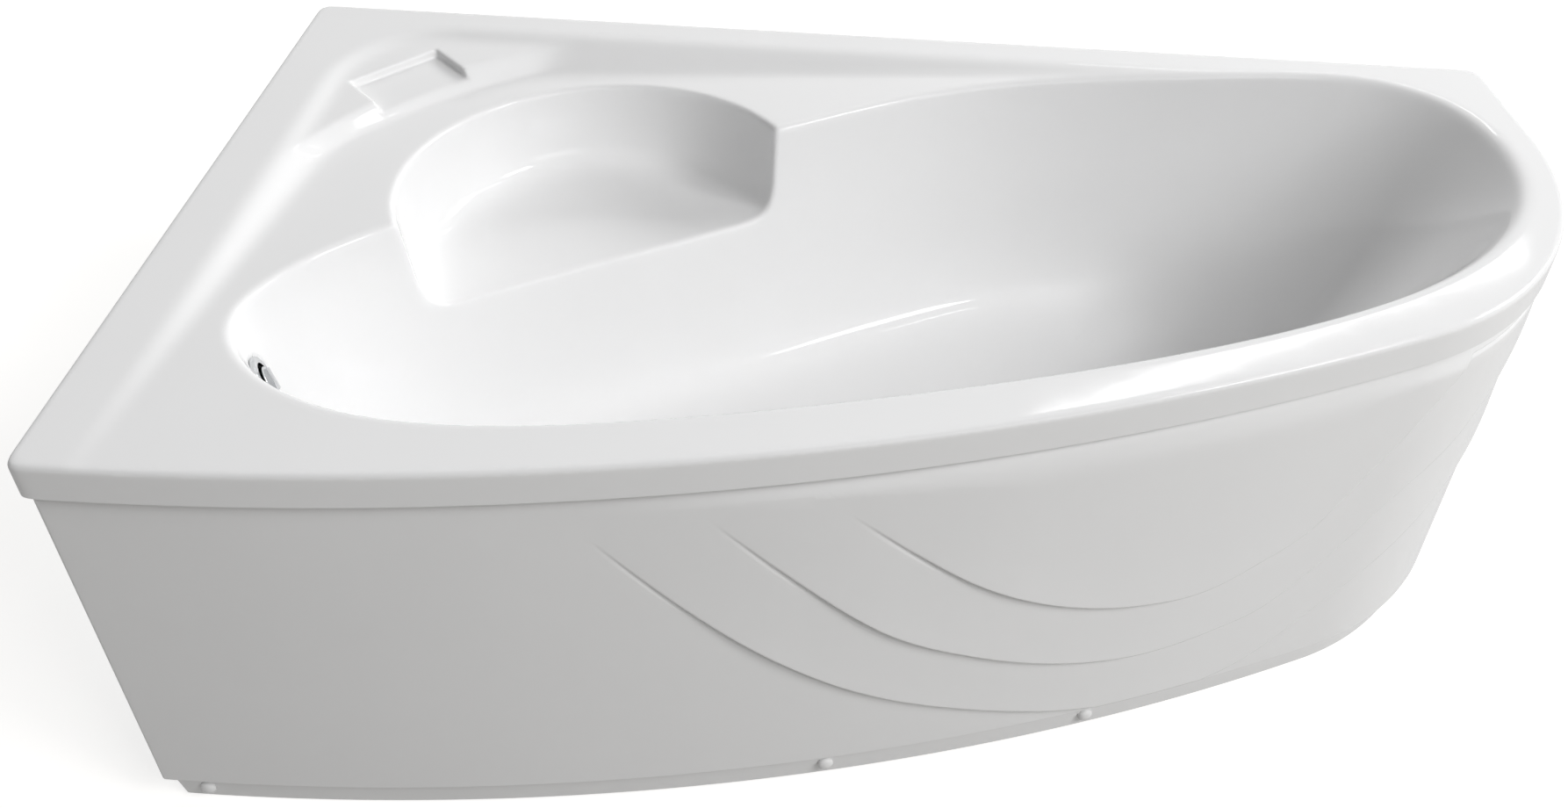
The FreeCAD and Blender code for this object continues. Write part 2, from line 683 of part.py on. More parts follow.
def diagonal_line():
    """Start and heading of the slanted rail; its length goes to the sheet."""
    beside = size("tube_side") + size("rail_gap")
    start = Vector(beam_places()["middle"], front_rail() + beside, 0)
    reach = place("rail_end") + Vector(size("tube_side") / 2, 0, 0) - start
    derived("F3", "diagonal_length", reach.Length)
    return start, math.degrees(math.atan2(reach.y, reach.x))


def posts():
    """Upright tubes from the beams to the underside of the deck."""
    low = measure(BEAM_BASE) + size("tube_side")
    back = size("width") - size("post_back_gap")
    for name in ("left", "middle"):
        x = beam_places()[name]
        for label, y in ((f"post_front_{name}", front_post(name)), (f"post_back_{name}", back)):
            keep(square_tube(label, f"height - shell_wall - {BEAM_BASE} - tube_side"), plan(x, y, low))


def tube_plugs():
    """Plastic plugs in the open ends of the beams and rails."""
    inside = size("tube_side") - 2 * size("tube_wall") - size("plug_ease")
    plate = Part.makeBox(size("tube_side"), size("tube_side"), size("plug_plate"),
                         Vector(-size("tube_side") / 2, -size("tube_side") / 2, -size("plug_plate")))
    stub = Part.makeBox(inside, inside, size("plug_stub"), Vector(-inside / 2, -inside / 2, 0))
    plug = plate.fuse(stub)
    shapes = []
    for tube in [item for item in nodes if item.Label.startswith(("beam_", "rail_"))]:
        span = tube.Shape.copy()
        span.Placement = Placement()
        flip = Placement(Vector(0, 0, span.BoundBox.ZMax), Rotation(Vector(1, 0, 0), 180))
        for end in (Placement(), flip):
            shape = plug.copy()
            shape.Placement = tube.Placement.multiply(end)
            shapes.append(shape)
    feature("tube_plugs", Part.makeCompound(shapes))


def base_board():
    low = measure(BEAM_BASE) + 2 * size("tube_side")
    board = prism(shares_to_plan(BOARD_SHARES), low, low + size("board_thick"))
    board = board.makeFillet(size("board_corner"), upright_edges(board))
    hole = disc(drain_centre(low), UP, size("board_hole_radius"), -size("overrun"), size("overrun"))
    feature("base_board", board.cut(hole))


def feet():
    """Six screw feet: a stud through the beam and a pad on the floor."""
    bore = "stud_radius + stud_clearance"
    neck_top = "pad_height + pad_neck_height"
    for number, (x, y) in enumerate(foot_places(), start=1):
        stud = turned(f"foot_stud_{number}", [("0", "pad_floor"), ("stud_radius", "pad_floor"),
                                              ("stud_radius", STUD_TOP), ("0", STUD_TOP)])
        keep(stud, plan(x, y, 0))
        pad = turned(f"foot_pad_{number}", [
            ("0", "0"), ("pad_radius", "0"), ("pad_radius", "pad_edge"),
            ("pad_neck_radius", "pad_height"), ("pad_neck_radius", neck_top), (bore, neck_top),
            (bore, "pad_floor"), ("0", "pad_floor")])
        keep(pad, plan(x, y, 0))


def hexagon(flats):
    corner = f"{flats} * {HEXAGON_SHARE}"
    half = f"{flats} * {HEXAGON_SHARE} / 2"
    return [("0", f"-({corner})"), (f"{flats} / 2", f"-({half})"), (f"{flats} / 2", half),
            ("0", corner), (f"-{flats} / 2", half), (f"-{flats} / 2", f"-({half})")]


def lock_nuts():
    """Nuts above and below the beam on every stud."""
    nut = padded("lock_nut", "XY_Plane", hexagon("nut_flats"), "nut_height")
    bore = circle_sketch(nut, "XY_Plane", "lock_nut_bore", [("0", "0")],
                         "stud_radius + stud_clearance")
    cut_through(nut, "lock_nut_cut", bore)
    levels = (measure(BEAM_BASE) - size("nut_height"), measure(BEAM_BASE) + size("tube_side"))
    copies("foot_lock_nuts", nut, [Placement(plan(x, y, level), Rotation())
                                   for x, y in foot_places() for level in levels])


def panel_brackets():
    """Angle plates that hang from the frame and carry the plinth."""
    tops = {"left": (BEAM_BASE, "bracket_leg"), "middle": (BEAM_BASE, "bracket_leg"),
            "right": (f"{BEAM_BASE} + tube_side", "bracket_right_leg")}
    for name, (top, leg) in tops.items():
        label = f"panel_bracket_{name}"
        body = padded(label, "XZ_Plane", [
            ("0", "bracket_foot"), ("0", top), (f"-{leg}", top),
            (f"-{leg}", f"{top} - bracket_thick"), ("-bracket_thick", f"{top} - bracket_thick"),
            ("-bracket_thick", "bracket_foot")], "bracket_width", True)
        hole = circle_sketch(body, "YZ_Plane", label + "_hole", [("0", "screw_level")],
                             "screw_radius + stud_clearance")
        cut_through(body, label + "_hole_cut", hole)
        point, outward, heading = panel_axis(name)
        base = point - outward * (size("panel_wall") + size("seat_gap"))
        keep(body, Vector(base.x, base.y, 0), Rotation(heading, 0, 0))


def panel_screws():
    """Screws through the plinth and the domed caps that hide their heads."""
    screw = turned("panel_screw", [
        ("0", "-screw_length"), ("screw_radius", "-screw_length"),
        ("screw_radius", "0"), ("screw_head_radius", "0"),
        ("screw_head_radius", "screw_head_height"), ("0", "screw_head_height")])
    cap = screw_cap()
    screws = []
    caps = []
    for name in CAP_SHARES:
        point, outward, heading = panel_axis(name)
        turn = Rotation(UP, outward)
        screws.append(Placement(point, turn))
        shape = cap.copy()
        shape.Placement = Placement(point, turn)
        caps.append(shape)
    copies("panel_screws", screw, screws)
    feature("screw_caps", Part.makeCompound(caps))


def dome(radius, height):
    """Slice of a ball on the level plane with the given foot radius and height."""
    ball = (radius ** 2 + height ** 2) / (2 * height)
    sphere = Part.makeSphere(ball, Vector(0, 0, height - ball))
    return sphere.common(Part.makeCylinder(2 * radius, 2 * height))


def screw_cap():
    room = dome(size("cap_radius") - size("cap_wall"), size("cap_height") - size("cap_wall"))
    return dome(size("cap_radius"), size("cap_height")).cut(room)


def rim_blocks():
    """Blocks glued under the front deck, and the screws that hold the panel's flange to them."""
    tall = size("lip_drop") + size("panel_gap") - size("shell_wall")
    box = Part.makeBox(size("block_depth"), size("block_length"), tall,
                       Vector(-size("block_depth") / 2, -size("block_length") / 2, 0))
    bore = Part.makeCylinder(size("block_screw_radius") + size("stud_clearance"), size("block_screw_length"))
    block = box.cut(bore)
    screw = turned("block_screw", [
        ("0", "-block_screw_head"), ("block_screw_head_radius", "-block_screw_head"),
        ("block_screw_head_radius", "0"), ("block_screw_radius", "0"),
        ("block_screw_radius", "block_screw_length"), ("0", "block_screw_length")])
    blocks = []
    screws = []
    for name in BLOCK_SHARES:
        point, heading = block_axis(name)
        shape = block.copy()
        shape.Placement = Placement(point, Rotation(heading, 0, 0))
        blocks.append(shape)
        screws.append(Placement(point - UP * size("panel_wall"), Rotation()))
    feature("rim_blocks", Part.makeCompound(blocks))
    copies("block_screws", screw, screws)


def wall_brackets():
    """Hooked plates, screwed to the wall, that the turned-down lip sits on."""
    lip = "height - lip_drop"
    behind = "-(shell_wall + seat_gap)"
    profile = [
        ("0", f"{lip} - hook_drop"), ("0", lip), (behind, lip), (behind, f"{lip} + hook_rise"),
        (f"{behind} - hook_plate", f"{lip} + hook_rise"), (f"{behind} - hook_plate", f"{lip} - hook_plate"),
        ("-hook_plate", f"{lip} - hook_plate"), ("-hook_plate", f"{lip} - hook_drop")]
    headings = {"back_1": QUARTER_TURN, "back_2": QUARTER_TURN, "left": 2 * QUARTER_TURN}
    for name, heading in headings.items():
        label = f"wall_bracket_{name}"
        body = padded(label, "XZ_Plane", profile, "hook_width", True)
        level = f"{lip} - hook_hole_drop"
        holes = circle_sketch(body, "YZ_Plane", label + "_holes",
                              [("-hook_hole_spacing / 2", level), ("hook_hole_spacing / 2", level)],
                              "hook_hole_radius")
        cut_through(body, label + "_hole_cut", holes)
        at = place(f"hook_{name}")
        keep(body, plan(at.x, at.y, 0), Rotation(heading, 0, 0))


def ring(inner, outer, low, high):
    return Part.makeCylinder(outer, high - low, Vector(0, 0, low)).cut(
        Part.makeCylinder(inner, high - low, Vector(0, 0, low)))


def top_outer_edge(shape):
    """The widest of the edges at the top of a turned shape."""
    high = max(edge.BoundBox.ZMin for edge in shape.Edges)
    return max((edge for edge in shape.Edges if edge.BoundBox.ZMin == high),
               key=lambda edge: edge.BoundBox.XLength)


def waste_levels():
    """Heights of the waste, from its flat seat in the well floor down."""
    floor = size("height") - well_depth() - size("land_drop")
    under = floor - size("shell_wall")
    cup_top = under - size("seal_thick")
    cup_base = cup_top - size("waste_height")
    neck_base = cup_base - size("neck_length")
    return floor, under, cup_top, cup_base, neck_base


def drain_centre(level):
    return plan(place("drain").x, place("drain").y, level)


def waste():
    """Chrome flange in the well floor, its seal, the cup below it and the lifting plug."""
    floor, under, cup_top, cup_base, neck_base = waste_levels()
    skirt_base = floor - size("flange_skirt")
    flange = ring(size("flange_throat_radius"), size("flange_radius"), floor, floor + size("flange_thick"))
    flange = flange.makeChamfer(size("flange_thick") / 2, [top_outer_edge(flange)])
    flange = flange.fuse(ring(size("flange_throat_radius"), size("flange_skirt_radius"), skirt_base, floor))
    hub = ring(size("plug_stem_radius") + size("stud_clearance"), size("guide_radius"), skirt_base,
               skirt_base + size("spoke_height"))
    reach = (size("guide_radius") + size("plug_stem_radius")) / 2
    spoke = Part.makeBox(size("flange_throat_radius") + size("seat_gap") - reach, size("spoke_width"),
                         size("spoke_height"), Vector(reach, -size("spoke_width") / 2, skirt_base))
    for turn in (0, 120, 240):
        arm = spoke.copy()
        arm.rotate(Vector(), UP, turn)
        hub = hub.fuse(arm)
    centred = Placement(drain_centre(0), Rotation())
    feature("drain_flange", flange.fuse(hub).removeSplitter()).Placement = centred
    seal = ring(size("drain_hole_radius"), size("seal_radius"), cup_top, under)
    feature("drain_seal", seal).Placement = centred
    thread = size("flange_skirt_radius") + size("thread_clearance")
    cup = Part.makeCylinder(size("waste_radius"), cup_top - cup_base, Vector(0, 0, cup_base))
    neck = Part.makeCylinder(size("neck_radius"), cup_base - neck_base, Vector(0, 0, neck_base))
    inside = Part.makeCylinder(size("waste_radius") - size("waste_wall"),
                               size("waste_height") - size("waste_wall") - size("waste_collar"),
                               Vector(0, 0, cup_base + size("waste_wall")))
    mouth = Part.makeCylinder(thread, size("waste_height"), Vector(0, 0, cup_top - size("waste_collar")))
    drop = Part.makeCylinder(size("neck_radius") - size("neck_wall"), size("waste_height"),
                             Vector(0, 0, neck_base))
    body = cup.fuse(neck).cut(inside).cut(mouth).cut(drop)
    body.translate(drain_centre(0))
    entry = pipe_route(0)
    feature("waste_body", body.cut(tube_along(entry, size("pipe_radius"))))
    rest = floor + size("flange_thick") + size("plug_rest")
    plug = turned("drain_plug", [
        ("0", "-plug_stem"), ("plug_stem_radius", "-plug_stem"),
        ("plug_stem_radius", "0"), ("plug_radius", "0"),
        ("plug_radius", "plug_thick - plug_dome"), ("plug_radius - plug_dome * 2", "plug_thick"),
        ("0", "plug_thick")])
    keep(plug, drain_centre(rest))
    washer = turned("plug_seal", [
        ("plug_stem_radius + stud_clearance", "-plug_seal_thick"), ("plug_seal_radius", "-plug_seal_thick"),
        ("plug_seal_radius", "0"), ("plug_stem_radius + stud_clearance", "0")])
    keep(washer, drain_centre(rest))


def overflow_frame():
    point, inward = wall_seat()
    return Placement(point, Rotation(UP, inward))


def overflow():
    """Ring on the well wall with a turning knob in its mouth, and the cup behind the wall."""
    seat_place = overflow_frame()
    back = -size("shell_wall") - size("seal_thick")
    deep = back - size("overflow_body_depth")
    collar = ring(size("overflow_mouth_radius"), size("overflow_ring_radius"), 0, size("overflow_ring_thick"))
    collar = collar.makeFillet(size("overflow_ring_thick") / 2, [top_outer_edge(collar)])
    skirt = ring(size("overflow_mouth_radius"), size("overflow_skirt_radius"), -size("overflow_skirt"), 0)
    feature("overflow_ring", collar.fuse(skirt)).Placement = seat_place
    seal = ring(size("overflow_hole_radius"), size("overflow_body_radius"), back, -size("shell_wall"))
    feature("overflow_seal", seal).Placement = seat_place
    thread = size("overflow_skirt_radius") + size("thread_clearance")
    body = Part.makeCylinder(size("overflow_body_radius"), size("overflow_body_depth"), Vector(0, 0, deep))
    room = Part.makeCylinder(size("overflow_body_radius") - size("overflow_body_wall"),
                             size("overflow_body_depth") - size("overflow_body_wall") - size("waste_collar"),
                             Vector(0, 0, deep + size("overflow_body_wall")))
    mouth = Part.makeCylinder(thread, size("overflow_body_depth"), Vector(0, 0, back - size("waste_collar")))
    axle = Part.makeCylinder(size("spindle_radius") + size("stud_clearance"), size("overflow_body_depth"),
                             Vector(0, 0, deep))
    body = body.cut(room).cut(mouth).cut(axle)
    body.Placement = seat_place
    feature("overflow_body", body.cut(tube_along(pipe_route(0), size("pipe_radius"))))
    knob = Part.makeCylinder(size("knob_radius"), size("knob_thick"), Vector(0, 0, size("knob_stand")))
    knob = knob.makeFillet(size("knob_thick") / 4, [max(knob.Edges, key=lambda edge: edge.BoundBox.ZMin)])
    bar = Part.makeBox(2 * size("knob_radius") - size("knob_bar_width"), size("knob_bar_width"),
                       size("knob_bar_height"),
                       Vector(size("knob_bar_width") / 2 - size("knob_radius"), -size("knob_bar_width") / 2,
                              size("knob_stand") + size("knob_thick")))
    spindle = Part.makeCylinder(size("spindle_radius"), size("knob_stand") - deep, Vector(0, 0, deep))
    feature("overflow_knob", knob.fuse([bar, spindle]).removeSplitter()).Placement = seat_place


def pipe_route(side):
    """Centre line from the overflow cup down and across to the waste cup, moved sideways."""
    frame = overflow_frame()
    back = -size("shell_wall") - size("seal_thick")
    middle = back - (size("overflow_body_depth") + size("waste_collar")) / 2
    start = frame.multVec(Vector(0, 0, middle))
    level = waste_levels()[0] - size("pipe_drop")
    target = drain_centre(level)
    low = Vector(start.x, start.y, level)
    across = (target - low).normalize()
    aside = Vector(-across.y, across.x, 0) * side
    bend = size("pipe_bend")
    turn = bend * (1 - math.sqrt(0.5))
    points = [start, low + UP * bend, low + UP * turn + across * turn, low + across * bend, target]
    return [point + aside for point in points]


def tube_along(route, radius):
    """Round bar along a route of a drop, a quarter bend and a level run."""
    drop = Part.makeLine(route[0], route[1])
    bend = Part.Arc(route[1], route[2], route[3]).toShape()
    level = Part.makeLine(route[3], route[4])
    section = Part.Wire(Part.makeCircle(radius, route[0], route[0] - route[1]))
    return Part.Wire([drop, bend, level]).makePipeShell([section], True, False)


def overflow_lines():
    """Pipe and control cable between the two cups."""
    frame = overflow_frame()
    deep = -size("shell_wall") - size("seal_thick") - size("overflow_body_depth")
    ease = size("seat_gap")
    overflow_cup = disc(frame.Base, frame.Rotation.multVec(UP), size("overflow_body_radius") + ease,
                        deep - ease, 0)
    waste_cup = disc(drain_centre(0), UP, size("waste_radius") + ease, 0, size("height"))
    cups = overflow_cup.fuse(waste_cup)
    route = pipe_route(0)
    inside = tube_along(route, size("pipe_radius") - size("pipe_wall"))
    pipe = tube_along(route, size("pipe_radius")).cut(inside)
    feature("overflow_pipe", largest(pipe.cut(cups)))
    cable = tube_along(pipe_route(size("cable_side")), size("cable_radius"))
    feature("control_cable", largest(cable.cut(cups)))


def largest(shape):
    return max(shape.Solids, key=lambda solid: solid.Volume)


def trap():
    """Bottle trap under the waste with a union nut and the outlet towards the left wall."""
    floor, under, cup_top, cup_base, neck_base = waste_levels()
    collar_top = neck_base - size("seat_gap")
    bottle_top = collar_top - size("trap_collar")
    bottle_base = bottle_top - size("trap_height")
    outlet_level = bottle_top - size("outlet_drop")
    fit = size("thread_clearance")
    collar = size("trap_collar_radius")
    nut_base = collar_top - size("trap_nut_height") / 2
    nut = Part.makeCylinder(size("trap_nut_radius"), size("trap_nut_height"), Vector(0, 0, nut_base))
    nut = nut.cut(Part.makeCylinder(collar + fit, collar_top - nut_base, Vector(0, 0, nut_base)))
    nut = nut.cut(Part.makeCylinder(size("neck_radius") + fit, size("trap_nut_height"),
                                    Vector(0, 0, nut_base)))
    centred = Placement(drain_centre(0), Rotation())
    feature("trap_nut", grooved(nut, nut_base, size("trap_nut_height"))).Placement = centred
    bottle = Part.makeCylinder(size("trap_radius"), size("trap_height"), Vector(0, 0, bottle_base))
    bottle = bottle.makeFillet(size("trap_wall"), [min(bottle.Edges, key=lambda edge: edge.BoundBox.ZMax)])
    bottle = bottle.fuse(Part.makeCylinder(collar, size("trap_collar"), Vector(0, 0, bottle_top)))
    left = Vector(-1, 0, 0)
    side = Part.makeCylinder(collar, size("outlet_collar"), Vector(0, 0, outlet_level), left)
    wall = size("trap_wall")
    room = Part.makeCylinder(size("trap_radius") - wall, size("trap_height") - 2 * wall,
                             Vector(0, 0, bottle_base + wall))
    drop = Part.makeCylinder(size("neck_radius"), size("trap_height"), Vector(0, 0, bottle_top - wall))
    away = Part.makeCylinder(size("neck_radius") + fit, size("outlet_collar"),
                             Vector(0, 0, outlet_level), left)
    feature("trap_body", bottle.fuse(side).cut(room).cut(drop).cut(away)).Placement = centred
    half = size("outlet_nut_length") / 2
    turn = Placement(drain_centre(outlet_level), Rotation(Vector(0, 1, 0), -90))
    nut = ring(collar + fit, size("trap_nut_radius"), size("outlet_collar") - half, size("outlet_collar"))
    nut = nut.fuse(ring(size("neck_radius") + fit, size("trap_nut_radius"), size("outlet_collar"),
                        size("outlet_collar") + half)).removeSplitter()
    feature("outlet_nut", grooved(nut, size("outlet_collar") - half, 2 * half)).Placement = turn
    reach = place("drain").x - size("outlet_end_gap")
    inside = size("neck_radius") - size("outlet_wall")
    shoulder = reach - size("spigot_length")
    pipe = ring(inside, size("neck_radius"), size("trap_radius"), shoulder)
    spigot = ring(inside, size("neck_radius") - size("spigot_ease"), shoulder, reach)
    feature("outlet_pipe", pipe.fuse(spigot).removeSplitter()).Placement = turn


def grooved(nut, base, tall):
    """Hand grooves round a plastic union nut."""
    groove = (size("trap_nut_radius") - size("trap_collar_radius")) / 3
    for index in range(int(size("trap_rib_count"))):
        angle = 2 * math.pi * index / size("trap_rib_count")
        centre = on_circle(Vector(), size("trap_nut_radius"), angle)
        nut = nut.cut(Part.makeCylinder(groove, tall, Vector(centre.x, centre.y, base)))
    return nut


feature("tub_shell", tub_shell())
feature("front_panel", front_panel())
base_board()
beams()
rails()
posts()
tube_plugs()
feet()
lock_nuts()
panel_brackets()
panel_screws()
rim_blocks()
wall_brackets()
waste()
overflow()
overflow_lines()
trap()

doc.recompute()
failed = [item.Name for item in doc.Objects if "Invalid" in item.State or "Error" in item.State]
if failed:
    raise ValueError(f"failed objects: {failed}")
for item in nodes:
    if item.Shape.isNull() or not item.Shape.isValid():
        raise ValueError(f"bad shape: {item.Label}")
os.makedirs("parts", exist_ok=True)
for item in nodes:
    item.Shape.exportStep(f"parts/{item.Label}.step")
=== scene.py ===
import json
import math

import bpy
import numpy as np
from mathutils import Matrix, Vector


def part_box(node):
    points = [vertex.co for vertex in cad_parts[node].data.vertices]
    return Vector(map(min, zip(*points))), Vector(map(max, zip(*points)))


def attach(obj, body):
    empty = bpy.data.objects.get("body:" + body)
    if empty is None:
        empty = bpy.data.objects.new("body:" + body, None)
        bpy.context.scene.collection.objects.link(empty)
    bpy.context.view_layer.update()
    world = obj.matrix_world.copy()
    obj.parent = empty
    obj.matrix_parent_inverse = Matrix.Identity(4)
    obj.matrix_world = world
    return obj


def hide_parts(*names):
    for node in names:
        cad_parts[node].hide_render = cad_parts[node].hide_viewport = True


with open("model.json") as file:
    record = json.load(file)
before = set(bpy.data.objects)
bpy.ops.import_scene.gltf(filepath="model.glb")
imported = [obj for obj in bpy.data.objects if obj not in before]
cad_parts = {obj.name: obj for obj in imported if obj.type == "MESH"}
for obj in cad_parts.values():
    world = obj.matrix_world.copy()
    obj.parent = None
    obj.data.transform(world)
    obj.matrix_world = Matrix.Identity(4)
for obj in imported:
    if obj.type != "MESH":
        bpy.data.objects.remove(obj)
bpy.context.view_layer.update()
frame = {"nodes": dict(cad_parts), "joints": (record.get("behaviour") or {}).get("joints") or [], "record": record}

# Shapes are worked out in plan millimetres, as in the part's source: x along the
# back wall from the front left corner, y towards the back wall, z from the floor.
MM = 0.001
LENGTH = 1700.0
WIDTH = 980.0
HEIGHT = 605.0
BACK_LENGTH = LENGTH - 38.0
END_RADIUS = 0.4133 * WIDTH
END_CENTRE = np.array((LENGTH - END_RADIUS, 0.7484 * WIDTH))
FRONT_ANGLE = math.radians(0.9)
CORNER_RADIUS = 14.0
SHELL_WALL = 6.0
LIP_LEVEL = HEIGHT - 45.0
LIP_ROUND = 11.0
LIP_NEAR = 2.0
WELL_FLOOR = HEIGHT - 365.0
WELL_RIM_ROUND = 14.0
WELL_FLOOR_ROUND = 105.0
SEAT_CENTRE = (489.0, 589.0)
SEAT_RADIUS = 255.0
SEAT_TAPER = 14.0
SEAT_FLOOR = HEIGHT - 140.0
SEAT_RIM_ROUND = 12.0
SEAT_FLOOR_ROUND = 62.0
BORDER_LEFT = 80.0
BORDER_BACK = 57.0
BORDER_CORNER = 150.0
BAND_RUN_SHARE = 1.3
BAND_ROUND = 14.0
DIP_START = (77.0, 95.0)
DIP_END = (1362.0, 927.0)
DIP_SLOPE_SHARE = 0.065
SHELF_LEVEL = HEIGHT - 8.0
SHELF_CENTRE = (665.0, 356.0)
SHELF_RADIUS = 640.0
SHELF_END = 600.0
SHELF_ROUND = 7.0
DISH_CENTRE = (190.0, 796.0)
DISH_HALF = (68.0, 52.0)
DISH_FLOOR = HEIGHT - 20.0
DISH_ANGLE = math.radians(47.0)
DISH_ROUND = 7.0
WELL_RIM_SHARES = [
    (0.069, 0.303), (0.091, 0.200), (0.158, 0.120), (0.256, 0.107), (0.385, 0.147), (0.538, 0.218),
    (0.690, 0.305), (0.829, 0.414), (0.926, 0.531), (0.984, 0.702), (0.962, 0.890), (0.881, 0.971),
    (0.765, 0.939), (0.647, 0.924), (0.540, 0.885), (0.408, 0.741), (0.251, 0.581), (0.131, 0.463),
]
WELL_FLOOR_SHARES = [
    (0.138, 0.306), (0.150, 0.230), (0.194, 0.168), (0.265, 0.163), (0.376, 0.209), (0.500, 0.276),
    (0.618, 0.352), (0.706, 0.449), (0.753, 0.571), (0.762, 0.714), (0.738, 0.847), (0.697, 0.908),
    (0.641, 0.898), (0.576, 0.862), (0.494, 0.776), (0.376, 0.653), (0.253, 0.526), (0.165, 0.418),
]
# Grid for the tub's skin: size of a cell, cells along a coarse one, and how many coarse cells from
# the skin the field is still worked out in full.
CELL = 4.0
COARSE = 4
NEAR_CELLS = 2.2
GRID_BEFORE = np.array((3, 3, 5))
GRID_AFTER = 4
GRID_UNDER = 2
SLOPE_STEP = 0.25
LEAST_STEEP = 0.1
SETTLE_STEPS = 2
# Search for the nearest place on the well's contour: spacing of the first guesses, points worked
# out at a time, and the steps that close in, with their limits.
MARK_STEP = 0.25
MARK_BATCH = 20000
CLOSE_IN_STEPS = 3
CLOSE_IN_LEAST = 0.3
CLOSE_IN_LIMIT = 0.2
# The walls of well and seat go on a little above the deck and below the floor.
WALL_SHARES = (-0.3, 1.3)
DECK_ROUND = 8.0
LEAST_CORNER = 1.0
TINY = 1e-9


def smooth_max(a, b, blend):
    """Larger of two fields, with the crease between them rounded over a blend width."""
    near = np.maximum(blend - np.abs(a - b), 0.0) / blend
    return np.maximum(a, b) + near ** 3 * blend / 6.0


def smooth_min(a, b, blend):
    """Smaller of two fields, rounded in the same way."""
    return -smooth_max(-a, -b, blend)


def plan_poles(shares):
    """Poles of a contour in plan, from shares of the tub's length and width."""
    return np.array(shares) * (LENGTH, WIDTH)


def spline(poles, at):
    """Points of a closed uniform cubic spline, with first and second derivatives."""
    count = len(poles)
    first = np.floor(at).astype(int)
    u = (at - first)[..., None]
    p0, p1, p2, p3 = (poles[(first + step) % count] for step in range(4))
    point = ((1 - u) ** 3 * p0 + (3 * u ** 3 - 6 * u ** 2 + 4) * p1
             + (-3 * u ** 3 + 3 * u ** 2 + 3 * u + 1) * p2 + u ** 3 * p3) / 6
    slope = (-(1 - u) ** 2 * p0 + (3 * u ** 2 - 4 * u) * p1
             + (-3 * u ** 2 + 2 * u + 1) * p2 + u ** 2 * p3) / 2
    bend = (1 - u) * p0 + (3 * u - 2) * p1 + (1 - 3 * u) * p2 + u * p3
    return point, slope, bend


RIM = plan_poles(WELL_RIM_SHARES)
SINK = plan_poles(WELL_FLOOR_SHARES) - RIM
MARKS = np.arange(0, len(RIM), MARK_STEP)
RIM_MARKS = spline(RIM, MARKS)[0].astype(np.float32)
SINK_MARKS = spline(SINK, MARKS)[0].astype(np.float32)


def nearest_marks(x, y, share):
    """Marks round the well's contour, a share of the way down, that lie nearest to each point."""
    found = np.empty(len(x))
    for start in range(0, len(x), MARK_BATCH):
        part = slice(start, start + MARK_BATCH)
        down = share[part, None].astype(np.float32)
        across = RIM_MARKS[:, 0] + down * SINK_MARKS[:, 0] - x[part, None].astype(np.float32)
        up = RIM_MARKS[:, 1] + down * SINK_MARKS[:, 1] - y[part, None].astype(np.float32)
        found[part] = MARKS[np.argmin(across ** 2 + up ** 2, axis=1)]
    return found


def well_wall(x, y, share, drop):
    """Distance from the well's slanted wall, negative inside, at a share of the way down."""
    here = np.stack((x, y), axis=1)
    down = share[:, None]
    at = nearest_marks(x, y, share)
    for _ in range(CLOSE_IN_STEPS):
        a, a1, a2 = spline(RIM, at)
        b, b1, b2 = spline(SINK, at)
        off = a + down * b - here
        slope = a1 + down * b1
        bend = a2 + down * b2
        steep = (slope ** 2).sum(1)
        rate = np.maximum(steep + (off * bend).sum(1), CLOSE_IN_LEAST * steep)
        at = at - np.clip((off * slope).sum(1) / rate, -CLOSE_IN_LIMIT, CLOSE_IN_LIMIT)
    a, a1, _ = spline(RIM, at)
    b, b1, _ = spline(SINK, at)
    off = here - (a + down * b)
    slope = a1 + down * b1
    outward = np.stack((slope[:, 1], -slope[:, 0]), axis=1)
    outward /= np.linalg.norm(outward, axis=1)[:, None]
    flat = np.linalg.norm(off, axis=1) * np.sign((off * outward).sum(1))
    lean = (outward * b).sum(1) / drop
    return flat / np.sqrt(1 + lean ** 2)


def dip_plane(x, y):
    """Level of the plane that the sunk deck follows."""
    along = np.subtract(DIP_END, DIP_START)
    along = along / np.linalg.norm(along)
    away = (y - DIP_START[1]) * along[0] - (x - DIP_START[0]) * along[1]
    return HEIGHT - DIP_SLOPE_SHARE * away


def outline_arcs():
    """Long front arc that runs into the arc at the right end, and the headings where they meet."""
    cosine, sine = math.cos(FRONT_ANGLE), math.sin(FRONT_ANGLE)
    rise = END_CENTRE[1] * cosine - END_CENTRE[0] * sine - END_RADIUS
    radius = (END_CENTRE @ END_CENTRE - END_RADIUS ** 2) / (2 * rise)
    centre = np.array((-radius * sine, radius * cosine))
    join = math.atan2(END_CENTRE[1] - centre[1], END_CENTRE[0] - centre[0])
    reach = np.array((BACK_LENGTH, WIDTH)) - END_CENTRE
    leave = math.atan2(reach[1], reach[0]) - math.acos(END_RADIUS / np.linalg.norm(reach))
    return centre, radius, join, leave


FRONT_CENTRE, FRONT_RADIUS, JOIN, LEAVE = outline_arcs()


def outline_distance(x, y):
    """Distance outside the tub's edge, negative inside, with rounded corners."""
    front = np.hypot(x - FRONT_CENTRE[0], y - FRONT_CENTRE[1]) - FRONT_RADIUS
    right, ahead = x - END_CENTRE[0], y - END_CENTRE[1]
    end = np.hypot(right, ahead) - END_RADIUS
    side = right * math.cos(LEAVE) + ahead * math.sin(LEAVE) - END_RADIUS
    heading = np.arctan2(ahead, right)
    curved = np.where(heading < JOIN, front, np.where(heading > LEAVE, side, end))
    blend = 2 * CORNER_RADIUS
    return smooth_max(smooth_max(-x, y - WIDTH, blend), curved, blend)


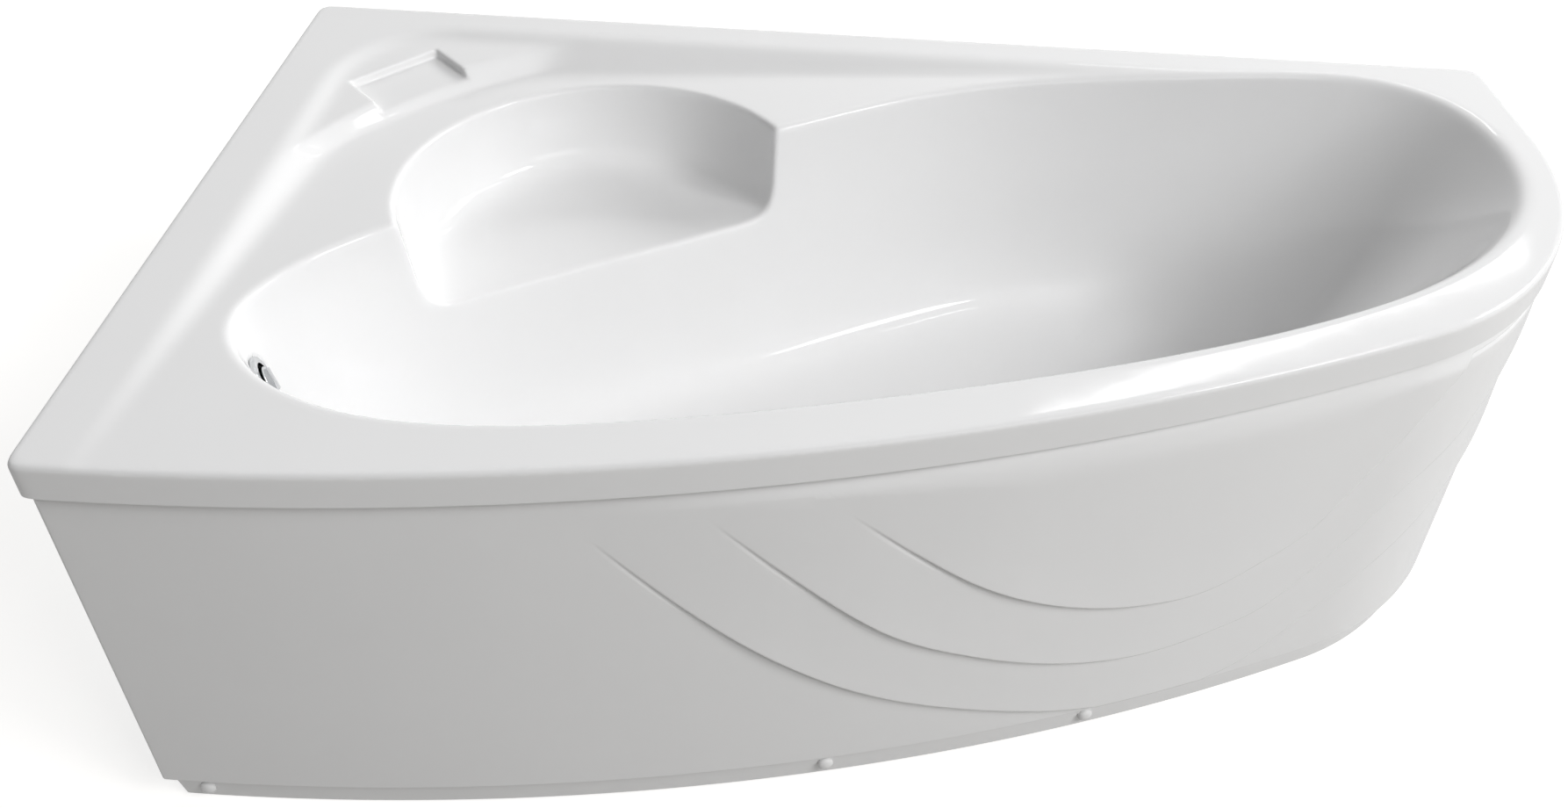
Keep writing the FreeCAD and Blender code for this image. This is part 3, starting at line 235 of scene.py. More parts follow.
def deck_hollow(x, y, z):
    """Air sunk into the deck: dipping floor, corner shelf and soap dish, negative in the air."""
    drop = HEIGHT - z
    left = BORDER_LEFT + BAND_RUN_SHARE * drop
    back = WIDTH - BORDER_BACK - BAND_RUN_SHARE * drop
    radius = np.maximum(BORDER_CORNER - BAND_RUN_SHARE * drop, LEAST_CORNER)
    in_x = left + radius - x
    in_y = y - back + radius
    corner = np.hypot(np.maximum(in_x, 0), np.maximum(in_y, 0))
    corner = corner + np.minimum(np.maximum(in_x, in_y), 0)
    border = (corner - radius) / math.hypot(1, BAND_RUN_SHARE)
    floor = (z - dip_plane(x, y)) / math.hypot(1, DIP_SLOPE_SHARE)
    ring = SHELF_RADIUS - drop - np.hypot(x - SHELF_CENTRE[0], y - SHELF_CENTRE[1])
    shelf = smooth_max(z - SHELF_LEVEL, ring / math.sqrt(2), SHELF_ROUND)
    shelf = np.maximum(shelf, np.maximum(x - SHELF_END, SHELF_CENTRE[1] - y))
    right, ahead = x - DISH_CENTRE[0], y - DISH_CENTRE[1]
    along = right * math.cos(DISH_ANGLE) + ahead * math.sin(DISH_ANGLE)
    aside = ahead * math.cos(DISH_ANGLE) - right * math.sin(DISH_ANGLE)
    dish = smooth_max(np.abs(along) - DISH_HALF[0], np.abs(aside) - DISH_HALF[1], DISH_ROUND)
    dish = smooth_max(dish, DISH_FLOOR - z, DISH_ROUND)
    shelf = smooth_max(shelf, -dish, DISH_ROUND)
    return smooth_max(border, -smooth_min(floor, shelf, SHELF_ROUND), BAND_ROUND)


# Flat seats and holes for the overflow and the drain.
KNOB = [joint for joint in frame["joints"] if joint["name"] == "knob_turn"][0]
PLAN_ORIGIN = np.array((LENGTH / 2, WIDTH / 2, 0.0))
OVERFLOW = np.array(KNOB["pos_m"]) / MM + PLAN_ORIGIN
OVERFLOW_AXIS = np.array(KNOB["axis"]) / np.linalg.norm(KNOB["axis"])
OVERFLOW_LAND = 34.0
OVERFLOW_HOLE = 28.5
DRAIN_CORNERS = [np.array(corner) / MM + PLAN_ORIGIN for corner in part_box("drain_flange")]
DRAIN = (DRAIN_CORNERS[0] + DRAIN_CORNERS[1]) / 2
DRAIN_LAND = 37.0
DRAIN_HOLE = 31.0
DRAIN_DROP = 1.0
LAND_REACH = 34.0
LAND_ROUND = 6.0


def about_overflow(points):
    """How far points lie along the overflow's axis, and how far from it."""
    off = points - OVERFLOW
    along = off @ OVERFLOW_AXIS
    return along, np.linalg.norm(off - along[:, None] * OVERFLOW_AXIS, axis=1)


def fitting_lands(x, y, z):
    """Air over the flat seats of the overflow and the drain, negative in the air."""
    along, radius = about_overflow(np.stack((x, y, z), axis=1))
    overflow = smooth_max(radius - OVERFLOW_LAND, -along, LAND_ROUND)
    drain = np.hypot(x - DRAIN[0], y - DRAIN[1]) - DRAIN_LAND
    drain = smooth_max(drain, WELL_FLOOR - DRAIN_DROP - z, LAND_ROUND)
    return np.maximum(overflow, along - LAND_REACH), drain


def tub_field(x, y, z):
    """Distance from the tub's upper skin, negative in the material below it."""
    edge = outline_distance(x, y)
    solid = smooth_max(edge, z - HEIGHT, LIP_ROUND)
    solid = smooth_max(solid, -deck_hollow(x, y, z), BAND_ROUND)
    deck = smooth_min(dip_plane(x, y), np.full_like(x, HEIGHT), DECK_ROUND)
    drop = deck - WELL_FLOOR
    wall = well_wall(x, y, np.clip((deck - z) / drop, *WALL_SHARES), drop)
    well = smooth_max(wall, WELL_FLOOR - z, WELL_FLOOR_ROUND)
    down = np.clip((deck - z) / (deck - SEAT_FLOOR), *WALL_SHARES)
    round_wall = np.hypot(x - SEAT_CENTRE[0], y - SEAT_CENTRE[1]) - SEAT_RADIUS + SEAT_TAPER * down
    seat = smooth_max(round_wall, SEAT_FLOOR - z, SEAT_FLOOR_ROUND)
    solid = smooth_max(solid, -well, WELL_RIM_ROUND)
    solid = smooth_max(solid, -seat, SEAT_RIM_ROUND)
    for land in fitting_lands(x, y, z):
        solid = smooth_max(solid, -land, LAND_ROUND)
    return solid


def field_at(points):
    """The tub's field at rows of points."""
    return tub_field(points[:, 0], points[:, 1], points[:, 2])


def field_slope(points):
    """Direction in which the field grows, by small steps either way."""
    slope = np.empty_like(points)
    for axis in range(3):
        shift = np.zeros(3)
        shift[axis] = SLOPE_STEP
        rise = field_at(points + shift) - field_at(points - shift)
        slope[:, axis] = rise / (2 * SLOPE_STEP)
    return slope


def near_grid(low, counts):
    """Field on a grid of cells, worked out only near the skin."""
    rough = [np.arange(0, count + COARSE, COARSE) for count in counts]
    gx, gy, gz = np.meshgrid(*rough, indexing="ij")
    points = np.stack((gx, gy, gz), axis=-1).reshape(-1, 3) * CELL + low
    rough_field = field_at(points).reshape(gx.shape)
    for axis in range(3):
        rough_field = np.repeat(rough_field, COARSE, axis=axis)
    middle = tuple(slice(COARSE // 2, COARSE // 2 + count) for count in counts)
    field = rough_field[middle].copy()
    close = np.argwhere(np.abs(field) < NEAR_CELLS * COARSE * CELL)
    field[tuple(close.T)] = field_at(close * CELL + low)
    return field


def skin_of(field, low):
    """Quads on the zero level of a grid field: one point in each cell that it crosses."""
    inside = field < 0
    counts = np.array(field.shape) - 1
    total = np.zeros(tuple(counts) + (3,))
    hits = np.zeros(tuple(counts))
    corners = [(i, j, k) for i in (0, 1) for j in (0, 1) for k in (0, 1)]

    def corner(grid, place):
        """Values of a grid at one corner of each cell."""
        return grid[tuple(slice(p, p + n) for p, n in zip(place, counts))]

    for a in corners:
        for b in corners:
            if sum(b) - sum(a) != 1 or any(q < p for p, q in zip(a, b)):
                continue
            fa, fb = corner(field, a), corner(field, b)
            crossed = corner(inside, a) != corner(inside, b)
            share = np.where(crossed, fa / np.where(crossed, fa - fb, 1.0), 0.0)
            for axis in range(3):
                total[..., axis] += np.where(crossed, a[axis] + share * (b[axis] - a[axis]), 0.0)
            hits += crossed
    cells = np.argwhere(hits > 0)
    number = np.full(tuple(counts), -1)
    number[tuple(cells.T)] = np.arange(len(cells))
    at = tuple(cells.T)
    points = (cells + total[at] / hits[at][:, None]) * CELL + low
    quads = []
    for axis in range(3):
        one, two = (axis + 1) % 3, (axis + 2) % 3
        ahead = [slice(None)] * 3
        ahead[axis] = slice(1, None)
        behind = [slice(None)] * 3
        behind[axis] = slice(None, -1)
        crossed = np.argwhere(inside[tuple(ahead)] != inside[tuple(behind)])
        fits = np.all((crossed >= 1) | (np.arange(3) == axis), axis=1)
        crossed = crossed[fits & np.all(crossed < counts, axis=1)]
        ring = []
        for back_one, back_two in ((1, 1), (0, 1), (0, 0), (1, 0)):
            place = crossed.copy()
            place[:, one] -= back_one
            place[:, two] -= back_two
            ring.append(number[tuple(place.T)])
        ring = np.stack(ring, axis=1)
        flip = ~inside[tuple(crossed.T)]
        ring[flip] = ring[flip][:, ::-1]
        quads.append(ring)
    return points, np.concatenate(quads)


def metres(points):
    """Plan millimetres to the shared frame's metres."""
    return (points - PLAN_ORIGIN) * MM


def border_edges(quads):
    """Edges that belong to one quad only, in the quad's own direction."""
    edges = np.concatenate([quads[:, [k, (k + 1) % 4]] for k in range(4)])
    top = edges.max() + 1
    forward = edges[:, 0] * top + edges[:, 1]
    backward = edges[:, 1] * top + edges[:, 0]
    return edges[~np.isin(forward, backward)]


def put_in_scene(name, data):
    """New object of a mesh, lamp or camera in the scene."""
    made = bpy.data.objects.new(name, data)
    bpy.context.scene.collection.objects.link(made)
    return made


def mesh_object(name, points, faces, corner_normals):
    """Mesh in metres with its own shading directions at each face corner."""
    mesh = bpy.data.meshes.new(name)
    mesh.from_pydata(points.tolist(), [], faces.tolist())
    mesh.update()
    mesh.polygons.foreach_set("use_smooth", np.ones(len(mesh.polygons), dtype=bool))
    mesh.normals_split_custom_set(corner_normals.reshape(-1, 3).tolist())
    return put_in_scene(name, mesh)


def with_thickness(name, points, normals, quads, wall):
    """Closed sheet: the skin, its back moved inwards, and the strips along the open borders."""
    count = len(points)
    edges = border_edges(quads)
    strips = np.concatenate((edges[:, ::-1], edges + count), axis=1)
    faces = np.concatenate((quads, quads[:, ::-1] + count, strips))
    both = np.concatenate((points, points - normals * wall))
    start = both[strips[:, 0]]
    side = np.cross(both[strips[:, 1]] - start, both[strips[:, 3]] - start)
    side /= np.maximum(np.linalg.norm(side, axis=1), TINY)[:, None]
    corner_normals = np.concatenate((
        normals[quads], -normals[quads[:, ::-1]], np.repeat(side[:, None, :], 4, axis=1)))
    return mesh_object(name, metres(both), faces, corner_normals)


def tub_skin():
    """Tub as a sheet on the field's zero level, open under the lip and at its two fittings."""
    low = np.array((0.0, 0.0, WELL_FLOOR)) - GRID_BEFORE * CELL
    high = np.array((LENGTH, WIDTH, HEIGHT)) + GRID_AFTER * CELL
    counts = np.ceil((high - low) / CELL).astype(int)
    points, quads = skin_of(near_grid(low, counts), low)
    slope = field_slope(points)
    for _ in range(SETTLE_STEPS):
        steep = np.maximum((slope ** 2).sum(1), LEAST_STEEP)
        points = points - slope * (field_at(points) / steep)[:, None]
        slope = field_slope(points)
    outside = outline_distance(points[:, 0], points[:, 1]) > -LIP_NEAR
    below = points[:, 2] < LIP_LEVEL
    deep = (points[:, 2] < LIP_LEVEL - CELL) & outside
    along, aside = about_overflow(points)
    overflow = (aside < OVERFLOW_HOLE) & (np.abs(along) < LAND_REACH)
    drain = np.hypot(*(points - DRAIN)[:, :2].T) < DRAIN_HOLE
    drain &= points[:, 2] < WELL_FLOOR + LAND_REACH
    dropped = deep | overflow | drain | (points[:, 2] < low[2] + GRID_UNDER * CELL)
    points[outside & below & ~deep, 2] = LIP_LEVEL
    quads = quads[~dropped[quads].any(axis=1)]
    used, quads = np.unique(quads, return_inverse=True)
    quads = quads.reshape(-1, 4)
    points = points[used]
    normals = field_slope(points)
    normals /= np.linalg.norm(normals, axis=1)[:, None]
    return with_thickness("tub", points, normals, quads, SHELL_WALL)


tub = tub_skin()
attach(tub, "tub")
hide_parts("tub_shell")


# Front panel: skirt behind the lip, with a set-back plinth and three raised petals.
PANEL_INSET = 9.0
PANEL_WALL = 4.0
PANEL_TOP = LIP_LEVEL - 4.0
PANEL_ROUND = 3.5
PANEL_CORNER = 6.0
PANEL_RETURN = 16.0
PLINTH_INSET = PANEL_INSET + 8.0
PLINTH_TOP = 51.0
PLINTH_BASE = 5.0
PLINTH_ROUND = 1.5
PLINTH_GROOVE = 4.0
PLINTH_DRAFT = 5.0
PANEL_STEP = 4.0
SIDE_STATIONS = 60
TURN_STATIONS = 6
TURN_ROWS = 5
RUN_TILT = 1e-6
START_HEADING = math.atan2(-FRONT_RADIUS, -FRONT_CENTRE[0])
PETAL_LIFT = 8.0
PETAL_RIGHT_SHARE = 0.6
PETAL_KEEP_SHARE = 0.4
PETAL_BELLY = 90.0
PETAL_EDGE = 5.0
PETAL_FADE = 220.0
PETAL_CLOSE = 8.0
PETAL_GAP = 26.0
PETAL_GROOVE = 4.5
PETAL_GROOVE_WIDTH = 2.2
PETAL_CLEAR = 1.0
PETAL_STEEPEST = 4.0
PETAL_ROWS = (-1.0, -0.7, -0.45, -0.25, -0.1, 0.1, 0.25, 0.45, 0.7, 1.0)
FACE_LOW = PLINTH_TOP + PLINTH_ROUND
FACE_HIGH = PANEL_TOP - PANEL_ROUND
FACE_ROWS = 14
# Lower edges of the petals in front view: x along the tub, level below the rim.
PETAL_EDGES = [
    [(560, 95), (610, 164), (715, 289), (829, 394), (1019, 497), (1186, 545),
     (1288, 547), (1354, 528), (1471, 437), (1559, 366), (1640, 285), (1682, 190)],
    [(690, 85), (769, 181), (902, 320), (995, 378), (1098, 423), (1204, 444),
     (1300, 433), (1362, 414), (1444, 339), (1496, 279), (1576, 216), (1660, 100)],
    [(835, 95), (916, 179), (983, 241), (1058, 292), (1135, 326), (1198, 341),
     (1268, 343), (1339, 314), (1396, 278), (1443, 213), (1485, 155), (1560, 40)],
]


def rounded_turn(point, normal, last):
    """Round corner of the panel from one outward normal to another."""
    centre = point - normal * PANEL_CORNER
    shares = np.linspace(0, 1, TURN_STATIONS + 1)[1:]
    found = [normal * (1 - share) + last * share for share in shares]
    turned = np.array([n / np.linalg.norm(n) for n in found])
    return centre + turned * PANEL_CORNER, turned


def panel_path(inset):
    """Stations round the panel at one inset: plan points and outward normals."""
    first = inset + PANEL_CORNER - FRONT_CENTRE[0]
    start = math.atan2(-math.sqrt((FRONT_RADIUS - inset) ** 2 - first ** 2), first)
    front_steps = int(FRONT_RADIUS * (JOIN - START_HEADING) / PANEL_STEP)
    end_steps = int(END_RADIUS * (LEAVE - JOIN) / PANEL_STEP)
    front = np.linspace(start, JOIN, 1 + front_steps)
    headings = np.concatenate((front, np.linspace(JOIN, LEAVE, 1 + end_steps)[1:]))
    on_front = np.arange(len(headings)) < len(front)
    centres = np.where(on_front[:, None], FRONT_CENTRE, END_CENTRE)
    radii = np.where(on_front, FRONT_RADIUS, END_RADIUS) - inset
    normals = np.stack((np.cos(headings), np.sin(headings)), axis=1)
    points = centres + normals * radii[:, None]
    side_normal = np.array((math.cos(LEAVE), math.sin(LEAVE)))
    along = np.array((-side_normal[1], side_normal[0]))
    side_end = (WIDTH - inset - PANEL_CORNER - points[-1, 1]) / along[1]
    side = points[-1] + np.linspace(0, side_end, SIDE_STATIONS + 1)[1:, None] * along
    points = np.concatenate((points, side))
    normals = np.concatenate((normals, np.repeat(side_normal[None], SIDE_STATIONS, axis=0)))
    left, left_normals = rounded_turn(points[0], normals[0], np.array((-1.0, 0.0)))
    right, right_normals = rounded_turn(points[-1], normals[-1], np.array((0.0, 1.0)))
    rest = PANEL_RETURN - PANEL_CORNER
    left_end = left[-1:] + np.array((0.0, rest))
    right_end = right[-1:] - np.array((rest, 0.0))
    points = np.concatenate((left_end, left[::-1], points, right, right_end))
    normals = np.concatenate((
        left_normals[-1:], left_normals[::-1], normals, right_normals, right_normals[-1:]))
    return points, normals


def smooth_step(value):
    """Ease from 0 to 1."""
    value = np.clip(value, 0.0, 1.0)
    return value * value * (3 - 2 * value)


def soft_curve(knots, at):
    """Smooth curve through knots, level beyond them, by cubic pieces with averaged slopes."""
    slopes = np.gradient(knots[:, 1], knots[:, 0])
    place = np.clip(np.searchsorted(knots[:, 0], at) - 1, 0, len(knots) - 2)
    span = knots[place + 1, 0] - knots[place, 0]
    u = np.clip((at - knots[place, 0]) / span, 0, 1)
    return ((2 * u ** 3 - 3 * u ** 2 + 1) * knots[place, 1]
            + (u ** 3 - 2 * u ** 2 + u) * span * slopes[place]
            + (-2 * u ** 3 + 3 * u ** 2) * knots[place + 1, 1]
            + (u ** 3 - u ** 2) * span * slopes[place + 1])


def up_to_rim(last, previous):
    """Point where the line through a petal edge's last two knots reaches the rim's level."""
    return last + (last - previous) * (HEIGHT - last[1]) / (last[1] - previous[1])


def petal_lines(run, x):
    """Lower edge of each petal at each station, its lift and groove there, and its steepness."""
    lines, lifts, grooves = [], [], []
    for edge in PETAL_EDGES:
        knots = np.array(edge, dtype=float)
        knots[:, 0] = np.interp(knots[:, 0], x, run)
        knots[:, 1] = HEIGHT - knots[:, 1]
        before, beyond = up_to_rim(knots[0], knots[1]), up_to_rim(knots[-1], knots[-2])
        lines.append(soft_curve(np.vstack((before, knots, beyond)), run))
        lowest = knots[np.argmin(knots[:, 1]), 0]
        right = smooth_step((run - lowest) / (knots[-1, 0] - lowest))
        fade = smooth_step((run - knots[0, 0]) / PETAL_FADE)
        lifts.append(PETAL_LIFT * fade * (1 - (1 - PETAL_RIGHT_SHARE) * right))
        grooves.append(PETAL_GROOVE * fade)
    top = np.full(len(run), FACE_HIGH - PETAL_GAP / 2)
    for line in reversed(lines):
        np.minimum(line, top, out=line)
        top = line - PETAL_GAP
    slopes = np.gradient(np.array(lines), run, axis=1)
    steep = np.sqrt(1 + np.minimum(slopes ** 2, PETAL_STEEPEST))
    lowest_line = FACE_LOW + PETAL_CLOSE * steep + PETAL_CLEAR
    return np.maximum(lines, lowest_line), np.array((lifts, grooves)), steep


def face_levels(lines, steep):
    """Levels up the panel's face at each station, close together along the petals' edges."""
    near = np.array(PETAL_ROWS) * PETAL_CLOSE
    shares = np.linspace(0, 1, FACE_ROWS + 1)[1:-1]
    rows = []
    low = np.full(lines.shape[1], FACE_LOW)
    for line, slant in zip(lines, steep):
        rows += [low + (line + near[0] * slant - low) * share for share in shares]
        rows += [line + off * slant for off in near]
        low = line + near[-1] * slant
    rows += [low + (FACE_HIGH - low) * share for share in shares]
    return np.array(rows).T


def petal_rise(level, lines, depths, steep):
    """How far petals stand out: a groove, a crisp lower edge and a belly that eases off above."""
    rise = np.zeros_like(level)
    for line, lift, groove, slant in zip(lines[..., None], *depths[..., None], steep[..., None]):
        off = (level - line) / slant
        above = smooth_step(off / PETAL_EDGE + 0.5)
        belly = np.exp(-np.maximum(level - line, 0.0) / PETAL_BELLY)
        rise += lift * above * (PETAL_KEEP_SHARE + (1 - PETAL_KEEP_SHARE) * belly)
        rise -= groove * np.exp(-((off + PETAL_EDGE / 2) / PETAL_GROOVE_WIDTH) ** 2)
    return rise * smooth_step((FACE_HIGH - level) / PETAL_GAP)


def panel_ends():
    """Levels and insets of the plinth and its shadow groove, and of the edge above the face."""
    turn = np.linspace(0, math.pi / 2, TURN_ROWS)
    foot = np.concatenate((
        [PLINTH_BASE, (PLINTH_BASE + PLINTH_TOP) / 2],
        PLINTH_TOP - PLINTH_GROOVE + PLINTH_ROUND * np.sin(turn),
        [PLINTH_TOP - PLINTH_ROUND, PLINTH_TOP],
        PLINTH_TOP + PLINTH_ROUND - PLINTH_ROUND * np.cos(turn)))
    foot_inset = np.concatenate((
        [PLINTH_INSET + PLINTH_DRAFT, PLINTH_INSET + PLINTH_DRAFT / 2],
        PLINTH_INSET + PLINTH_ROUND - PLINTH_ROUND * np.cos(turn),
        [PLINTH_INSET + PLINTH_GROOVE, PLINTH_INSET + PLINTH_GROOVE],
        PANEL_INSET + PLINTH_ROUND - PLINTH_ROUND * np.sin(turn)))
    head = np.concatenate((FACE_HIGH + PANEL_ROUND * np.sin(turn), [PANEL_TOP]))
    head_inset = np.concatenate((
        PANEL_INSET + PANEL_ROUND - PANEL_ROUND * np.cos(turn), [PANEL_INSET + PANEL_RETURN]))
    return foot, foot_inset, head, head_inset


def front_panel():
    """Panel as a grid of stations along it and levels up it."""
    foot, foot_inset, head, head_inset = panel_ends()
    base, normals = panel_path(PANEL_INSET)
    steps = np.linalg.norm(np.diff(base, axis=0), axis=1)
    run = np.concatenate(([0.0], np.cumsum(steps)))
    lines, depths, steep = petal_lines(run, np.maximum.accumulate(base[:, 0]) + run * RUN_TILT)
    face = face_levels(lines, steep)
    stations = len(run)
    levels = np.concatenate(
        (np.tile(foot, (stations, 1)), face, np.tile(head, (stations, 1))), axis=1)
    insets = np.concatenate((foot_inset, np.full(face.shape[1], PANEL_INSET), head_inset))
    points = np.empty(levels.shape + (3,))
    for inset in np.unique(insets):
        points[:, insets == inset, :2] = panel_path(inset)[0][:, None, :]
    at_face = slice(len(foot), len(foot) + face.shape[1])
    rise = petal_rise(face, lines, depths, steep)
    points[:, at_face, :2] += normals[:, None, :] * rise[..., None]
    points[..., 2] = levels
    shade = np.cross(np.gradient(points, axis=0), np.gradient(points, axis=1))
    shade /= np.linalg.norm(shade, axis=2)[:, :, None]
    index = np.arange(levels.size).reshape(levels.shape)
    quads = (index[:-1, :-1], index[1:, :-1], index[1:, 1:], index[:-1, 1:])
    quads = np.stack(quads, axis=-1).reshape(-1, 4)
    return with_thickness("panel", points.reshape(-1, 3), shade.reshape(-1, 3), quads, PANEL_WALL)


panel = front_panel()
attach(panel, "tub")
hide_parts("front_panel")


# Screw caps: three domes on the plinth, where the screws are.
CAP_RADIUS = 10.0
CAP_HEIGHT = 5.5
CAP_SEAT = 3.0
CAP_APART = 100.0
CAP_ROWS = 8
CAP_SIDES = 32
CAP_TIP = 0.01


def screw_caps():
    """Domes that stand on the plinth over the solid caps' places."""
    shown = frame["nodes"]["screw_caps"]
    corners = np.array([shown.matrix_world @ corner.co for corner in shown.data.vertices])
    corners = corners / MM + PLAN_ORIGIN
    corners = corners[np.argsort(corners[:, 0])]
    groups = np.split(corners, 1 + np.nonzero(np.diff(corners[:, 0]) > CAP_APART)[0])
    edge, normals = panel_path(PLINTH_INSET)
    rise = np.linspace(0, math.pi / 2, CAP_ROWS)
    out = np.concatenate(([-CAP_SEAT], CAP_HEIGHT * np.sin(rise)))
    radius = np.concatenate(([CAP_RADIUS], CAP_RADIUS * np.cos(rise)))
    radius[-1] = CAP_TIP
    turn = np.linspace(0, 2 * math.pi, CAP_SIDES, endpoint=False)[:, None]
    upward = np.array((0.0, 0.0, 1.0))
    points, faces = [], []
    for group in groups:
        middle = (group.min(axis=0) + group.max(axis=0)) / 2
        near = np.argmin(np.linalg.norm(edge - middle[:2], axis=1))
        normal = normals[near]
        ahead = np.array((*normal, 0.0))
        seat = middle[:2] + normal * ((edge[near] - middle[:2]) @ normal)
        seat = np.array((*seat, middle[2]))
        across = np.array((-ahead[1], ahead[0], 0.0))
        ring = np.cos(turn) * across + np.sin(turn) * upward
        first = len(points) * len(out) * CAP_SIDES
        points.append(seat + out[:, None, None] * ahead + radius[:, None, None] * ring)
        index = first + np.arange(len(out) * CAP_SIDES).reshape(len(out), CAP_SIDES)
        beside = np.roll(index, -1, axis=1)
        sides = np.stack((index[:-1], beside[:-1], beside[1:], index[1:]), axis=-1)
        faces += sides.reshape(-1, 4).tolist()
        faces += [index[0, ::-1].tolist(), index[-1].tolist()]
    mesh = bpy.data.meshes.new("caps")
    mesh.from_pydata(metres(np.concatenate(points).reshape(-1, 3)).tolist(), [], faces)
    mesh.shade_smooth()
    return put_in_scene("caps", mesh)


caps = screw_caps()
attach(caps, "tub")
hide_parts("screw_caps")


# Materials.
NOISE_DETAIL = 3.0


def tree_of(name):
    """New node material with its shader."""
    material = bpy.data.materials.new(name)
    material.use_nodes = True
    nodes = material.node_tree.nodes
    return material, nodes, material.node_tree.links, nodes["Principled BSDF"]


def noise(nodes, links, scale):
    """Noise over the object's own coordinates."""
    place = nodes.new("ShaderNodeTexCoord")
    texture = nodes.new("ShaderNodeTexNoise")
    texture.inputs["Scale"].default_value = scale
    texture.inputs["Detail"].default_value = NOISE_DETAIL
    links.new(place.outputs["Object"], texture.inputs["Vector"])
    return texture.outputs["Fac"]


def spread(nodes, links, value, low, high, start=0.0, stop=1.0):
    """Map a value between start and stop to a band of numbers."""
    band = nodes.new("ShaderNodeMapRange")
    band.inputs["From Min"].default_value = start
    band.inputs["From Max"].default_value = stop
    band.inputs["To Min"].default_value = low
    band.inputs["To Max"].default_value = high
    links.new(value, band.inputs["Value"])
    return band.outputs["Result"]


def tones(nodes, links, value, dark, light):
    """Blend two tones of one colour by a noise value."""
    mix = nodes.new("ShaderNodeMix")
    mix.data_type = "RGBA"
    mix.inputs["A"].default_value = (*dark, 1.0)
    mix.inputs["B"].default_value = (*light, 1.0)
    links.new(value, mix.inputs["Factor"])
    return mix.outputs["Result"]


def relief(nodes, links, value, depth, shader):
    """Fine bumps of a real depth in metres."""
    bump = nodes.new("ShaderNodeBump")
    bump.inputs["Distance"].default_value = depth
    links.new(value, bump.inputs["Height"])
    links.new(bump.outputs["Normal"], shader.inputs["Normal"])


def finish(name, dark, light, rough, grain, depth=0.0, metal=0.0):
    """Material with slight tone, gloss and surface changes at the grain's scale."""
    material, nodes, links, shader = tree_of(name)
    value = noise(nodes, links, grain)
    links.new(tones(nodes, links, value, dark, light), shader.inputs["Base Color"])
    links.new(spread(nodes, links, value, *rough), shader.inputs["Roughness"])
    shader.inputs["Metallic"].default_value = metal
    if depth:
        relief(nodes, links, value, depth, shader)
    return material


MATERIALS = {
    "acrylic": finish(
        "acrylic", (0.82, 0.82, 0.822), (0.84, 0.84, 0.842),
        rough=(0.05, 0.08), grain=7.0, depth=0.00035),
    "board": finish(
        "chipboard", (0.42, 0.30, 0.17), (0.60, 0.47, 0.30),
        rough=(0.7, 0.85), grain=420.0, depth=0.0003),
    "timber": finish(
        "softwood", (0.55, 0.38, 0.21), (0.68, 0.51, 0.31),
        rough=(0.55, 0.7), grain=90.0, depth=0.0002),
    "frame_paint": finish(
        "powder coat", (0.30, 0.31, 0.32), (0.36, 0.37, 0.38),
        rough=(0.38, 0.5), grain=900.0, depth=0.00005),
    "zinc_steel": finish(
        "zinc", (0.52, 0.52, 0.50), (0.68, 0.68, 0.66),
        rough=(0.25, 0.4), grain=160.0, metal=1.0),
    "black_plastic": finish(
        "black plastic", (0.02, 0.02, 0.02), (0.035, 0.035, 0.035),
        rough=(0.45, 0.6), grain=500.0, depth=0.00004),
    "white_plastic": finish(
        "white plastic", (0.78, 0.78, 0.78), (0.82, 0.82, 0.82),
        rough=(0.18, 0.26), grain=120.0, depth=0.00002),
    "chrome": finish(
        "chrome", (0.60, 0.61, 0.62), (0.66, 0.67, 0.68),
        rough=(0.05, 0.10), grain=60.0, metal=1.0),
    "rubber": finish(
        "rubber", (0.02, 0.02, 0.02), (0.04, 0.04, 0.04),
        rough=(0.7, 0.85), grain=400.0, depth=0.00004),
    "pipe_plastic": finish(
        "pipe plastic", (0.70, 0.70, 0.69), (0.76, 0.76, 0.75),
        rough=(0.35, 0.45), grain=80.0, depth=0.00003),
}
SLOTS = {entry["node"]: entry["material_slot"] for entry in frame["record"]["subparts"]}


def dress(shown, slot):
    """Give a piece the material of its slot."""
    shown.data.materials.clear()
    shown.data.materials.append(MATERIALS[slot])


dress(tub, "acrylic")
dress(panel, "acrylic")
dress(caps, SLOTS["screw_caps"])
for node, shown in frame["nodes"].items():
    dress(shown, SLOTS[node])


# Stage: floor, studio light and camera.
WHITE = (1.0, 1.0, 1.0, 1.0)
FLOOR_SIZE = 60.0
FLOOR_LEVEL = -0.0005
FLOOR_GRAIN = 3.0
FLOOR_DARK = (0.45, 0.44, 0.42)
FLOOR_LIGHT = (0.49, 0.48, 0.46)
FLOOR_ROUGHNESS = 0.9
# The lamps light the floor near the tub, so it needs less of its own glow there than far off.
GLOW_NEAR, GLOW_FAR = 0.74, 1.0
GLOW_START, GLOW_STOP = 2.0, 6.0
SKY_LEVEL = 0.15
TUB_MIDDLE = (0.0, 0.0, 0.4)
CAMERA_PLACE = Vector((0.027418, -1.477474, 1.661763))
CAMERA_PITCH = 0.7344814
CAMERA_YAW = -0.0938558
CAMERA_ROLL = math.radians(0.6)
SENSOR_WIDTH = 36.0
LENS = 34.56


def larger(nodes, links, first, second):
    """Larger of two values."""
    pick = nodes.new("ShaderNodeMath")
    pick.operation = "MAXIMUM"
    links.new(first, pick.inputs[0])
    links.new(second, pick.inputs[1])
    return pick.outputs["Value"]


def mixed(nodes, links, share, first, second):
    """First shader where the share is 0, second where it is 1."""
    mix = nodes.new("ShaderNodeMixShader")
    links.new(share, mix.inputs["Fac"])
    links.new(first, mix.inputs[1])
    links.new(second, mix.inputs[2])
    return mix.outputs["Shader"]


